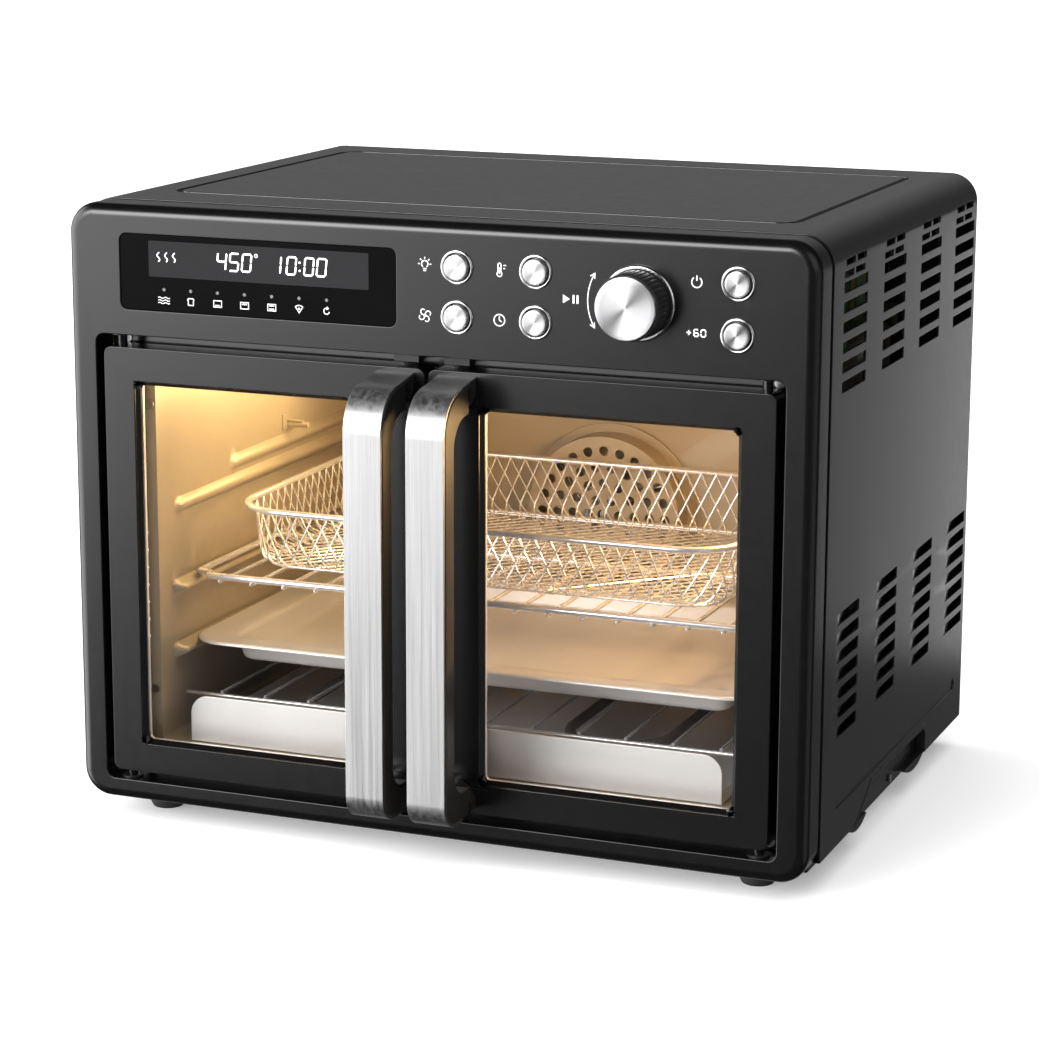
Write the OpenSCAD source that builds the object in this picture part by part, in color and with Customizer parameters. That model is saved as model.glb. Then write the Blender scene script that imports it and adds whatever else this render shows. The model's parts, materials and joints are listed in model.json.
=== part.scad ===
// French-door toaster oven with an air-fry basket, wire rack, baking pan and crumb tray.
// Millimetres. X runs to the viewer's right, Y to the back, Z up from the worktop.
// The modules are drawn with Y = 0 on the bezel's front face; placed() moves them so that
// the origin is the bottom centre of the whole oven, handles and wall spacers included.

/* [Body] */
// Width of the front bezel
body_w = 470; // [466:1:474]
// Height of the top of the bezel above the worktop
bezel_top = 384.5; // [384:0.5:386]
// Y of the back of the outer shell
body_back = 361; // [358:1:366]
// Height of the feet
foot_h = 13; // [12:1:14]
// Thickness of the sheet-metal shell
sheet = 1.6; // [1.2:0.1:2]
// Radius of the body's upper corners
corner_r = 18; // [14:1:20]

/* [Doors] */
// Half width of the pair of doors
door_half = 211.8; // [210:0.1:213]
// Height of the bottom edge of the doors
door_bottom = 32.4; // [31:0.1:34]
// Height of the top edge of the doors
door_top = 298.5; // [297:0.1:300]
// Thickness of a door
door_t = 18; // [17:0.5:18.5]
// Distance of the hinge axis from the outer edge of a door
hinge_inset = 8; // [7:0.5:8.5]

/* [Handles] */
// Distance that the handles stand in front of the bezel
handle_reach = 48; // [44:1:52]
// Width of a handle
handle_w = 25; // [22:1:26]
// Gap from the centre line to a handle's inner edge
handle_in = 7; // [5:0.5:9]
// Thickness of the steel strip on a handle
strip_t = 1.5; // [1:0.1:2]
// Thickness of a handle's grip bar, strip included
grip_t = 14; // [12:1:16]

/* [Controls] */
// Radius of a push button's cap
button_r = 7.3; // [7:0.1:7.45]
// Travel of a push button
button_travel = 1.2; // [0.8:0.1:1.2]
// Distance that the knob stands in front of the bezel
knob_reach = 23; // [20:1:26]
// Radius of the knob's skirt
knob_r = 19.2; // [18.5:0.1:19.3]

/* [Cavity] */
// Half width of the oven cavity
cavity_half = 190; // [189:0.5:190.5]
// Height of the cavity floor
cavity_floor = 46; // [45:0.5:47]
// Height of the cavity ceiling
cavity_top = 290; // [288:1:291]
// Y of the cavity's back wall
cavity_back = 320; // [318:1:321]
// Height of the wire rack's front bar
rack_z = 146.7; // [146:0.1:147.5]
// Height of the baking pan's rim
pan_z = 106; // [105:0.5:107]
// Height of the fry basket's rim
basket_z = 190.5; // [189:0.5:192]

/* [Hidden] */
$fn = 48;
spacer_len = 10;
front_y = handle_reach - (handle_reach + body_back + spacer_len) / 2;
half = body_w / 2;
shell_half = half + 0.5;
shell_top = bezel_top + 0.5;
shell_low = 19.5;
shell_front = 27;
over = 1;                      // how far a cutter runs past the face that it cuts
// bezel
fascia_t = 3;
seam_y = 24;
recess_half = 217;
recess_low = 26.5;
recess_top = 306;
recess_back = 21.6;
ring_t = 1.5;
liner_y = recess_back + ring_t;
// display
display_x = [-199.3, -18.8];
display_z = [321.8, 367.5];
lcd_x = [-180.2, -36.5];
lcd_z = [342.4, 363.9];
led_x = [for (i = [0:6]) -170.3 + 17.8 * i];
led_z = 334.9;
led_r = 1;
// push buttons
button_x = [19.5, 67.9, 188.3];
button_z = [359, 330];
ring_seat_r = 9.2;
board_y = 16;
board_t = 1.6;
// knob
knob_x = 129.8;
knob_z = 344.7;
shaft_r = 3;
running = 0.05;                // radial running clearance of shafts and pins
// doors
hinge_x = door_half - hinge_inset;
hinge_y = door_t / 2;
pin_r = 3;
bush_r = 5;
window_x = [33, 191.5];
window_z = [51, 278];
ledge = 2.5;                   // width and depth of the sloping ledge round a window
glass_y = 4.5;
glass_t = 4;
glass_lap = 8;                 // how far the glass reaches behind the edge of a window
pin_z = [46, 286];             // inner ends of a door's lower and upper hinge pins
handle_low = 35;
handle_high = 296;
boss_low = 53;                 // top of a handle's lower boss
boss_high = 276;               // bottom of its upper boss
// casing
plate_half = 228;              // half width of the base plate
flange_in = 226;               // inner edge of the shell's bottom flanges
foot_x = 195;
foot_y = [38, 330];
spacer_x = [178, 192];
spacer_z = [296, 336];
gland = [175, 62];             // X and Z of the mains outlet
screw_r = 1.7;
corner_screw_x = 207;
corner_screw_z = [recess_low + 4.5, recess_top - 5];
rear_screw_x = 222;
rear_screw_z = [40, 200, 360];
flange_screw_x = 230;
flange_screw_y = [70, 200, 330];
liner_screw_x = 193.6;
liner_screw_z = [80, 260];
// side vents: four columns of upper slots and of pressed louvres
vent_pitch_y = 85.7;
vent_y = 48;
vent_w = 49;
row_pitch = 11.4;
upper_row = 295.7;
lower_row = 90.4;
// racks
guide_h = 8;
rail_half = cavity_half - 3;
wire_r = 2.2;
rack_front = 57;
rack_back = 297;
tray_half = 174;
tray_y = 31;
tray_back = 308;
pan_front = 50;
pan_back = 292;
basket_front = 64;
basket_back = 288;
basket_half = 166;
guide_rows = [                 // front Y, centre Z and X of the crest of each pressed guide
    [45, 192, 186], [121, 205, 186],
    [40, rack_z - wire_r - guide_h / 2, 182],
    [40, pan_z - 2 - guide_h / 2, 182]
];
// cavity fittings
liner_t = 1.2;
heater_y = [85, 165, 245];
heater_z = 279;
loop_x = [55, 120];
loop_z = 63;
tube_r = 3.2;
lamp_y = 120;
lamp_z = 250;
probe_y = 205;
probe_z = 216;
probe_r = 1.9;
fan_z = 150;

// ---- helpers ----

module placed() {
    translate([0, front_y, 0]) children();
}

// Stands an outline drawn in X and Z upright, from y0 to y1.
module slab(y0, y1) {
    translate([0, y1, 0]) rotate([90, 0, 0]) linear_extrude(y1 - y0) children();
}

// Lays an outline drawn in Y and Z across the oven, from x0 to x1.
module across(x0, x1) {
    translate([x0, 0, 0]) rotate([90, 0, 90]) linear_extrude(x1 - x0) children();
}

module rounded(x0, x1, z0, z1, r) {
    translate([x0 + r, z0]) square([x1 - x0 - 2 * r, z1 - z0]);
    translate([x0, z0 + r]) square([x1 - x0, z1 - z0 - 2 * r]);
    for (x = [x0 + r, x1 - r], z = [z0 + r, z1 - r]) translate([x, z]) circle(r);
}

module block(x0, x1, y0, y1, z0, z1) {
    translate([x0, y0, z0]) cube([x1 - x0, y1 - y0, z1 - z0]);
}

// Round bar along Y, Z or X.
module rod_y(x, z, y0, y1, r, r2 = -1) {
    translate([x, y0, z]) rotate([-90, 0, 0]) cylinder(h = y1 - y0, r1 = r, r2 = r2 < 0 ? r : r2);
}
module rod_z(x, y, z0, z1, r) {
    translate([x, y, z0]) cylinder(h = z1 - z0, r = r);
}
module rod_x(x0, x1, y, z, r) {
    translate([x0, y, z]) rotate([0, 90, 0]) cylinder(h = x1 - x0, r = r);
}

function arc(c, r, a0, a1, n = 12) =
    [for (i = [0:n]) c + r * [cos(a0 + (a1 - a0) * i / n), sin(a0 + (a1 - a0) * i / n)]];

module both_sides() {
    children();
    mirror([1, 0, 0]) children();
}

// ---- bezel and casing ----

// Profile across one edge of the bezel: u is 0 at the outer face, y is 0 at the front.
module edge_profile(depth, fillet) {
    translate([0, fillet]) square([corner_r, depth - fillet]);
    translate([fillet, 0]) square([corner_r - fillet, depth]);
    translate([fillet, fillet]) circle(fillet);
}

// Corner solid: the edge profile turned about the corner's axis.
module bezel_corner(depth, fillet) {
    rotate([-90, 0, 0]) rotate_extrude()
        translate([corner_r, 0]) mirror([1, 0]) edge_profile(depth, fillet);
}

// Rounded slab whose front edge has a fillet all the way round.
module bezel_body(depth, fillet) {
    x = half - corner_r;
    z0 = foot_h + corner_r;
    z1 = bezel_top - corner_r;
    for (cx = [-x, x], cz = [z0, z1]) translate([cx, 0, cz]) bezel_corner(depth, fillet);
    block(-x, x, 0, depth, foot_h + fillet, bezel_top - fillet);
    block(-half + fillet, half - fillet, 0, depth, z0, z1);
    both_sides() translate([half, 0, z0]) linear_extrude(z1 - z0)
        mirror([1, 0]) edge_profile(depth, fillet);
    for (s = [0, 1]) translate([0, 0, s * (bezel_top + foot_h)]) mirror([0, 0, s])
        translate([-x, 0, foot_h]) rotate([90, 0, 90]) linear_extrude(2 * x)
            rotate(90) mirror([0, 1]) edge_profile(depth, fillet);
}

module front_bezel() {
    fillet = 7;
    wall = 4;
    tunnel = 3;
    neck = 1.5;
    notch_pitch = 62.6;
    notch_in = 8.9;
    notch_y = 9;
    color("#2b2b2c") difference() {
        union() {
            difference() {
                union() {
                    bezel_body(seam_y, fillet);
                    slab(seam_y - over, shell_front)
                        rounded(-half + neck, half - neck, foot_h + neck, bezel_top - neck,
                            corner_r - neck);
                }
                slab(fascia_t, shell_front + over)
                    rounded(-half + wall, half - wall, foot_h + wall, bezel_top - wall, corner_r - wall);
            }
            slab(fascia_t - over, liner_y) rounded(-recess_half - tunnel, recess_half + tunnel,
                recess_low - tunnel, recess_top + tunnel, 11);
        }
        slab(-over, recess_back) rounded(-recess_half, recess_half, recess_low, recess_top, 5.5);
        slab(recess_back - over, liner_y + over) rounded(-197, 197, 39, 296, 6);
        both_sides()
            rod_z(hinge_x, hinge_y, foot_h + wall + 1, recess_top + tunnel + over, bush_r + running);
        for (k = [-3:3], s = [-1, 1])
            translate([k * notch_pitch + s * notch_in, notch_y, recess_top - over])
                linear_extrude(tunnel + 2 * over) polygon([[-4.5, -4], [4.5, -4], [2.5, 3], [-2.5, 3]]);
        slab(-over, fascia_t + over) rounded(display_x[0], display_x[1], display_z[0], display_z[1], 4.5);
        for (x = button_x, z = button_z) {
            rod_y(x, z, -over, fascia_t / 2, ring_seat_r);
            rod_y(x, z, 0, fascia_t + over, button_r + 0.25);
        }
        rod_y(knob_x, knob_z, -over, fascia_t + over, 4.5);
        both_sides() for (z = corner_screw_z)
            rod_y(corner_screw_x, z, recess_back - over, liner_y + over, screw_r);
    }
}

// Outline of the inverted U of the shell, at distance t inside its outer face, from height low up.
module shell_outline(t, low) {
    r = corner_r - t;
    translate([-shell_half + t, low]) square([2 * (shell_half - t), shell_top - t - r - low]);
    translate([-shell_half + corner_r, low]) square([2 * (shell_half - corner_r), shell_top - t - low]);
    for (s = [-1, 1]) translate([s * (shell_half - corner_r), shell_top - corner_r]) circle(r);
}

// Hand-grip outline in the side panel, drawn in Y and Z. A larger g makes it smaller.
module grip_outline(g) {
    polygon(concat([[97 + 1.4 * g, shell_low - 2]], arc([138, 34], 6 - g / 2, 125, 90, 4),
        arc([260, 30], 10 - g, 90, 0, 8), [[270 - g, shell_low - 2]]));
}

// All the holes in one side panel.
module side_vents() {
    for (c = [0:3]) translate([0, vent_y + c * vent_pitch_y, 0]) {
        for (r = [0:5]) block(shell_half - 4, shell_half + over, 0, vent_w, upper_row + r * row_pitch - 3.2,
            upper_row + r * row_pitch + 3.2);
        for (r = [0, 1], s = [0, 1]) translate([0, r == 0 ? 0 : 3, 0])
            block(shell_half - 4, shell_half + over, s * 23, s * 23 + 19, 358.4 + r * 6.8, 362 + r * 6.8);
        for (r = [0:6]) block(shell_half - 4, shell_half + over, 0, vent_w, lower_row + r * row_pitch - 3.4,
            lower_row + r * row_pitch + 3.4);
    }
}

// Sloping flaps behind the lower louvres: flush at the front end, deep and open at the rear end.
module louvre_flaps() {
    flap_drop = 7;
    for (c = [0:3], r = [0:6])
        translate([0, vent_y + c * vent_pitch_y, lower_row + r * row_pitch - 3.9]) linear_extrude(7.8)
            polygon([[shell_half, -0.5], [shell_half, 2], [shell_half - flap_drop + 1, vent_w - 2],
                [shell_half - flap_drop, vent_w - 2], [shell_half - sheet, -0.5]]);
}

module outer_shell() {
    color("#4a4a4c") {
        difference() {
            union() {
                difference() {
                    slab(shell_front, body_back) shell_outline(0, shell_low);
                    slab(shell_front - over, body_back + over) shell_outline(sheet, shell_low - over);
                }
                both_sides() difference() {
                    union() {
                        block(flange_in, shell_half - sheet + 0.1, shell_front, body_back - 2, shell_low,
                            shell_low + sheet);
                        across(plate_half, shell_half - sheet + 0.1) intersection() {
                            grip_outline(-3);
                            translate([0, shell_low]) square([400, 60]);
                        }
                    }
                    across(plate_half + sheet, shell_half) grip_outline(0);
                }
            }
            both_sides() {
                across(shell_half - sheet - over, shell_half + over) grip_outline(0);
                side_vents();
                across(shell_half - 0.8, shell_half + over) rounded(56, 341, 43, 50, 3);
            }
            translate([0, 0, shell_top - 0.8]) linear_extrude(2) difference() {
                rounded(-201, 201, 66, 328, 14);
                rounded(-197, 197, 70, 324, 10);
            }
            both_sides() for (y = flange_screw_y)
                rod_z(flange_screw_x, y, shell_low - over, shell_low + 4, screw_r);
        }
        both_sides() louvre_flaps();
    }
}

module rear_cover() {
    plate = 2;
    color("#3a3a3b") difference() {
        slab(body_back - plate, body_back) shell_outline(sheet + 0.1, shell_low + sheet + 0.1);
        for (x = [-120:12:120], z = [110, 190, 270, 330])
            slab(body_back - plate - over, body_back + over) rounded(x - 2.5, x + 2.5, z - 16, z + 16, 2.4);
        rod_y(gland[0], gland[1], body_back - plate - over, body_back + over, 7 + running);
        both_sides() for (z = rear_screw_z)
            rod_y(rear_screw_x, z, body_back - plate - over, body_back + over, screw_r);
        both_sides() slab(body_back - plate - over, body_back + over)
            rounded(spacer_x[0], spacer_x[1], spacer_z[0], spacer_z[1], 2);
    }
}

module base_plate() {
    color("#1d1d1e") difference() {
        union() {
            block(-plate_half, plate_half, shell_front, body_back - 2, foot_h, foot_h + 2);
            both_sides() block(flange_in, plate_half, shell_front, body_back - 2, foot_h, shell_low);
            block(-plate_half, plate_half, body_back - 4, body_back - 2, foot_h, shell_low);
            block(1 - flange_in, flange_in - 1, body_back - 4, body_back - 2, foot_h, shell_low + 8);
        }
        for (x = [-150:20:150], y = [90, 150, 210, 270])
            block(x - 3, x + 3, y - 20, y + 20, foot_h - over, foot_h + 3);
        both_sides() for (y = foot_y) rod_z(foot_x, y, foot_h - over, foot_h + 3, 2.1);
    }
}

module feet() {
    color("#161616") both_sides() for (y = foot_y) translate([foot_x, y, 0]) difference() {
        union() {
            cylinder(h = 3, r1 = 9.5, r2 = 11);
            translate([0, 0, 3]) cylinder(h = foot_h - 3, r1 = 11, r2 = 12.5);
            translate([0, 0, foot_h]) cylinder(h = 4, r = 2.1);
        }
        translate([0, 0, -over]) cylinder(h = 4, r = 4);
    }
}

// Black plastic frame that lines each hand grip, with a rounded lobe under each end.
module side_grips() {
    lip = 0.3;
    color("#141414") both_sides() {
        across(plate_half + sheet, shell_half + lip) intersection() {
            difference() {
                grip_outline(0);
                grip_outline(3.5);
            }
            translate([0, shell_low]) square([400, 60]);
        }
        for (lobe = [[112, 54, 40], [245, 74, 60]])
            across(plate_half + 0.2, shell_half - 1) intersection() {
                translate([lobe[0], lobe[1]]) circle(lobe[2]);
                translate([0, foot_h]) square([400, shell_low - foot_h]);
            }
    }
}

module wall_spacers() {
    color("#1a1a1a") both_sides() slab(body_back - 4, body_back + spacer_len)
        rounded(spacer_x[0], spacer_x[1], spacer_z[0], spacer_z[1], 2);
}

module mains_gland() {
    color("#121212") translate([gland[0], body_back, gland[1]]) rotate([-90, 0, 0]) difference() {
        union() {
            translate([0, 0, -6]) cylinder(h = 6, r = 7);
            cylinder(h = 3, r = 10);
            translate([0, 0, 3]) cylinder(h = 3, r1 = 8.5, r2 = 7.5);
        }
        translate([0, 0, -7]) cylinder(h = 14, r = 3.6);
    }
}

// ---- cavity ----

module guide(row) {
    y1 = 306;
    across(row[2], cavity_half + 0.5) rounded(row[0], y1, row[1] - guide_h / 2, row[1] + guide_h / 2, 3.9);
}

module cavity_liner() {
    t = liner_t;
    flange = [214, 29, 303];
    color("#b9b4aa") difference() {
        union() {
            slab(liner_y, cavity_back + t)
                rounded(-cavity_half - t, cavity_half + t, cavity_floor - t, cavity_top + t, 5);
            slab(liner_y, liner_y + 1.5) rounded(-flange[0], flange[0], flange[1], flange[2], 8);
        }
        difference() {
            slab(liner_y - over, cavity_back)
                rounded(-cavity_half, cavity_half, cavity_floor, cavity_top, 4);
            both_sides() for (row = guide_rows) guide(row);
        }
        rod_y(0, fan_z, cavity_back - over, cavity_back + t + over, 9);
        rod_x(cavity_half - 2, cavity_half + t + over, lamp_y, lamp_z, 14);
        for (y = heater_y) both_sides() rod_x(cavity_half - over, cavity_half + t + over, y, heater_z, 5);
        both_sides() for (x = loop_x) rod_y(x, loop_z, cavity_back - over, cavity_back + t + over, 5);
        both_sides() for (z = liner_screw_z) rod_y(liner_screw_x, z, liner_y - over, liner_y + 2, 1.6);
        rod_x(-cavity_half - t - over, -cavity_half + over, probe_y, probe_z, probe_r);
    }
}

module top_heater() {
    color("#8d8a86") for (y = heater_y) rod_x(-199, 199, y, heater_z, tube_r);
}

// Two hairpin tubes that enter through the back wall.
module bottom_heater() {
    turn_y = 100;
    bend_r = (loop_x[1] - loop_x[0]) / 2;
    color("#77736e") for (s = [-1, 1]) {
        for (x = loop_x) rod_y(s * x, loop_z, turn_y, cavity_back + 10, tube_r);
        translate([s * (loop_x[0] + bend_r), turn_y, loop_z]) rotate([0, 0, 180])
            rotate_extrude(angle = 180) translate([bend_r, 0]) circle(tube_r);
    }
}

module heater_insulators() {
    color("#e8e2d4") {
        both_sides() for (y = heater_y) difference() {
            rod_x(cavity_half - 2, cavity_half + 6, y, heater_z, 5);
            rod_x(cavity_half - 3, cavity_half + 7, y, heater_z, tube_r);
        }
        both_sides() for (x = loop_x) difference() {
            rod_y(x, loop_z, cavity_back - 3, cavity_back + 7, 5);
            rod_y(x, loop_z, cavity_back - 4, cavity_back + 8, tube_r);
        }
    }
}

// Wires over the lower heater, each resting on three cross bars.
module heater_guard() {
    wire_top = 72;
    wire = 1.1;
    bar = 1.3;
    color("#c9c6c0") {
        for (x = [-165 : 30 : 165]) rod_y(x, wire_top, 56, cavity_back - 2, wire);
        for (y = [57, 190, 316]) rod_x(-cavity_half, cavity_half, y, wire_top - wire - bar - running, bar);
    }
}

module lamp_holder() {
    color("#d8d4cc") difference() {
        union() {
            rod_x(cavity_half + liner_t, cavity_half + 3, lamp_y, lamp_z, 20);
            rod_x(cavity_half + 3, cavity_half + 30, lamp_y, lamp_z, 13);
        }
        rod_x(cavity_half, cavity_half + 22, lamp_y, lamp_z, 11);
    }
}

module lamp_bulb() {
    color("#ffe2a0") {
        rod_x(cavity_half + 6, cavity_half + 22, lamp_y, lamp_z, 9);
        rod_x(cavity_half - 1, cavity_half + liner_t, lamp_y, lamp_z, 13.9);
        rod_x(cavity_half, cavity_half + 6, lamp_y, lamp_z, 6);
        translate([cavity_half - 1, lamp_y, lamp_z]) difference() {
            sphere(12);
            translate([0, -20, -20]) cube(40);
        }
    }
}

module temperature_probe() {
    wall = -cavity_half;
    color("#c8c8c8") {
        rod_x(wall - 8, wall + 16, probe_y, probe_z, probe_r);
        difference() {
            block(wall, wall + 1, probe_y - 7, probe_y + 7, probe_z - 3.5, probe_z + 7);
            rod_x(wall - over, wall + 2, probe_y, probe_z, probe_r);
        }
        block(wall, wall + 12, probe_y - 2, probe_y + 2, probe_z + 1.8, probe_z + 2.8);
    }
}

module fan_guard() {
    plate_r = 60;
    step_y = 300;
    color("#a9a59c") difference() {
        union() {
            rod_y(0, fan_z, step_y, cavity_back - 2, plate_r - 6);
            rod_y(0, fan_z, cavity_back - 2, cavity_back, plate_r);
        }
        rod_y(0, fan_z, step_y + 1.5, cavity_back + over, plate_r - 7.5);
        rod_y(0, fan_z, step_y - over, step_y + 3, 4);
        for (ring = [1:4], k = [0 : 6 * ring - 1]) rotate_about_fan(k * 60 / ring)
            rod_y(ring * 11, fan_z, step_y - over, step_y + 3, 3.2);
    }
}

module rotate_about_fan(a) {
    translate([0, 0, fan_z]) rotate([0, a, 0]) translate([0, 0, -fan_z]) children();
}

module fan_blade() {
    hub_y = 304;
    disc_y = hub_y + 11.5;
    hub_end = hub_y + 13;
    blade = [34, 11.2, 1.2];
    color("#cfcfcf") difference() {
        union() {
            rod_y(0, fan_z, hub_y, hub_end, 7);
            rod_y(0, fan_z, disc_y, hub_end, 22);
            for (k = [0:9]) rotate_about_fan(36 * k) translate([30, hub_y + 1, fan_z])
                rotate([0, 20, 0]) translate([-18, 0, -blade[2] / 2]) cube(blade);
        }
        rod_y(0, fan_z, hub_y - over, hub_end + over, shaft_r);
    }
}

module motor_shaft() {
    color("#b5b5b5") rod_y(0, fan_z, 302, 351, shaft_r);
}

module fan_motor() {
    color("#9a8f7a") difference() {
        union() {
            rod_y(0, fan_z, 329, 355, 29);
            rod_y(0, fan_z, 325, 329, 12);
            block(-36, 36, 331, 347, fan_z - 22, fan_z + 22);
        }
        rod_y(0, fan_z, 324, 352, shaft_r + running);
    }
}

module motor_bracket() {
    y0 = cavity_back + liner_t;
    color("#bdbdbd") difference() {
        union() {
            slab(y0, y0 + 1.8) rounded(-48, 48, fan_z - 48, fan_z + 48, 8);
            for (s = [-1, 1]) rod_y(s * 33, fan_z, y0 + 1.8, 331, 4);
        }
        rod_y(0, fan_z, y0 - over, y0 + 3, 12);
    }
}

// ---- electronics ----

module power_board() {
    z = cavity_top + 12;
    color("#8a6b3a") {
        block(70, 200, 190, 320, z, z + 1.6);
        block(80, 120, 205, 245, z + 1.6, z + 32);
        for (x = [140, 165]) block(x, x + 18, 210, 240, z + 1.6, z + 20);
        rod_z(150, 290, z + 1.6, z + 26, 8);
        rod_z(175, 290, z + 1.6, z + 26, 8);
        for (x = [76, 194], y = [196, 314]) rod_z(x, y, cavity_top + liner_t, z, 2.5);
    }
}

module control_board() {
    color("#1f5a34") {
        block(-205, 205, board_y, board_y + board_t, 318, 374);
        for (x = [-90, 100]) block(x, x + 26, board_y + board_t, board_y + 9, 326, 340);
    }
}

module display_window() {
    y0 = 0.8;
    back = fascia_t + 1.6;
    rim = 4;
    color("#0a0a0b") difference() {
        union() {
            slab(y0, back) rounded(display_x[0], display_x[1], display_z[0], display_z[1], 4.5);
            slab(fascia_t, back)
                rounded(display_x[0] - rim, display_x[1] + rim, display_z[0] - rim, display_z[1] + rim, 3);
        }
        for (x = led_x) rod_y(x, led_z, y0 - over, back + over, led_r);
    }
}

module lcd_panel() {
    color("#2c3136") block(lcd_x[0], lcd_x[1], fascia_t + 1.6, 10, lcd_z[0], lcd_z[1]);
}

module indicator_leds() {
    color("#d8d8d8") for (x = led_x) {
        rod_y(x, led_z, 0.7, 12, led_r);
        rod_y(x, led_z, 12, board_y, 1.5);
    }
}

module button_rings() {
    color("#d9dadb") for (x = button_x, z = button_z) difference() {
        union() {
            rod_y(x, z, -1.2, -0.6, 9.4, 10);
            rod_y(x, z, -0.6, 0, 10);
            rod_y(x, z, 0, fascia_t / 2, ring_seat_r);
        }
        rod_y(x, z, -1.3, fascia_t / 2 + over, 8.6);
    }
}

// Spun-metal cap, its retaining flange behind the bezel and the stem towards its switch.
module push_button(x, z) {
    color("#c9cacb") {
        rod_y(x, z, -3.2, -2.6, button_r - 0.7, button_r);
        rod_y(x, z, -2.6, 3.3, button_r);
        rod_y(x, z, 3.3, 4.5, 9);
        rod_y(x, z, 4.5, 12.6, 2);
    }
}

module tact_switches() {
    color("#222222") for (x = button_x, z = button_z) {
        block(x - 3, x + 3, 14.9, board_y, z - 3, z + 3);
        rod_y(x, z, 14, 14.9, 1.7);
    }
}

module knob_ring() {
    color("#c4c5c6") difference() {
        union() {
            rod_y(knob_x, knob_z, -2, -1.2, 21, 21.8);
            rod_y(knob_x, knob_z, -1.2, 0, 21.8);
        }
        rod_y(knob_x, knob_z, -3, over, knob_r + 0.4);
    }
}

module encoder_body() {
    color("#8f8f8f") difference() {
        union() {
            rod_y(knob_x, knob_z, 0, 9, 4.5);
            block(knob_x - 7, knob_x + 7, 9, board_y, knob_z - 7, knob_z + 7);
        }
        rod_y(knob_x, knob_z, -over, 11, shaft_r + running);
        rod_y(knob_x, knob_z, 10, 15, 5);
    }
}

module encoder_plunger() {
    color("#c8b060") difference() {
        rod_y(knob_x, knob_z, 10.4, 12.8, 4.8);
        rod_y(knob_x, knob_z, 10, 13, shaft_r + running);
    }
}

module encoder_shaft() {
    color("#b8b8b8") rod_y(knob_x, knob_z, -17, 13.2, shaft_r);
}

module knob_skirt() {
    flutes = 40;
    color("#111111") difference() {
        union() {
            rod_y(knob_x, knob_z, -1.5 - 18, -1.5, knob_r);
            rod_y(knob_x, knob_z, -21, -19.5, knob_r - 1, knob_r);
        }
        for (k = [0 : flutes - 1]) translate([knob_x, 0, knob_z]) rotate([0, k * 360 / flutes, 0])
            rod_y(knob_r + 0.25, 0, -22, -4, 0.8);
        rod_y(knob_x, knob_z, -17, 0, shaft_r);
        rod_y(knob_x, knob_z, -13, -1, 15);
        rod_y(knob_x, knob_z, -22, -20, 17);
    }
    color("#111111") difference() {
        rod_y(knob_x, knob_z, -13.5, -3, 6);
        rod_y(knob_x, knob_z, -17, 0, shaft_r);
    }
}

module knob_cap() {
    color("#cfd0d2") {
        rod_y(knob_x, knob_z, -knob_reach, 0.8 - knob_reach, 17.2, 18);
        rod_y(knob_x, knob_z, 0.8 - knob_reach, -21, 18);
        rod_y(knob_x, knob_z, -21.1, -20, 17);
    }
}

// ---- doors: drawn for the right-hand door; the left one is its mirror image ----

module door_frame() {
    low = [window_x[0] - glass_lap, window_z[0] - glass_lap];
    high = [window_x[1] + glass_lap - 0.5, window_z[1] + glass_lap];
    color("#262627") difference() {
        slab(0, door_t) rounded(1, door_half, door_bottom, door_top, 5);
        slab(-over, glass_y + over) rounded(window_x[0] + ledge, window_x[1] - ledge, window_z[0] + ledge,
            window_z[1] - ledge, 3);
        window_slope();
        slab(glass_y, door_t + over) rounded(low[0], high[0], low[1], high[1], 4);
        rod_z(hinge_x, hinge_y, door_bottom - over, pin_z[0], pin_r);
        rod_z(hinge_x, hinge_y, pin_z[1], door_top + over, pin_r);
    }
}

// Sloping sides of the window opening, as four wedges.
module window_slope() {
    wedge = [[0, -0.01], [ledge + 0.01, -0.01], [ledge + 0.01, glass_y - 1], [ledge, glass_y - 1], [0, 1]];
    translate([window_x[0], 0, window_z[0]]) linear_extrude(window_z[1] - window_z[0]) polygon(wedge);
    translate([window_x[1], 0, window_z[0]]) linear_extrude(window_z[1] - window_z[0])
        mirror([1, 0]) polygon(wedge);
    for (s = [0, 1]) translate([window_x[0], 0, window_z[s]]) mirror([0, 0, s]) rotate([90, 0, 90])
        linear_extrude(window_x[1] - window_x[0]) polygon([for (p = wedge) [p[1], p[0]]]);
}

module door_glass() {
    lap = glass_lap - 0.2;
    color([0.75, 0.8, 0.8, 0.3]) slab(glass_y, glass_y + glass_t)
        rounded(window_x[0] - lap, window_x[1] + lap - 0.5, window_z[0] - lap, window_z[1] + lap, 3.8);
}

module door_backing() {
    color("#3a3936") slab(glass_y + glass_t, glass_y + glass_t + 2.5) difference() {
        rounded(window_x[0] - glass_lap, window_x[1] + glass_lap - 0.5, window_z[0] - glass_lap,
            window_z[1] + glass_lap, 4);
        rounded(window_x[0] + 1, window_x[1] - 1, window_z[0] + 1, window_z[1] - 1, 3);
    }
}

module hinge_pins() {
    color("#242424") {
        rod_z(hinge_x, hinge_y, recess_low - 6, pin_z[0], pin_r);
        rod_z(hinge_x, hinge_y, pin_z[1], recess_top + 5, pin_r);
    }
}

// Side view of a handle in Y and Z, moved in by t from its outer face. The door is at Y = 0.
module handle_profile(t) {
    r_top = 26 - t;
    r_low = 16 - t;
    polygon(concat([[0, handle_high - t]], arc([-22, handle_high - 29.5], r_top, 90, 180),
        arc([16 - handle_reach, handle_low + 16], r_low, 180, 270), [[0, handle_low + t]]));
}

// Hand space between a handle and its door.
module handle_space() {
    polygon(concat([[over, boss_high]], arc([-16, boss_high - 18], 18, 90, 180),
        arc([-20, boss_low + 14], 14, 180, 270), [[over, boss_low]]));
}

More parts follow.
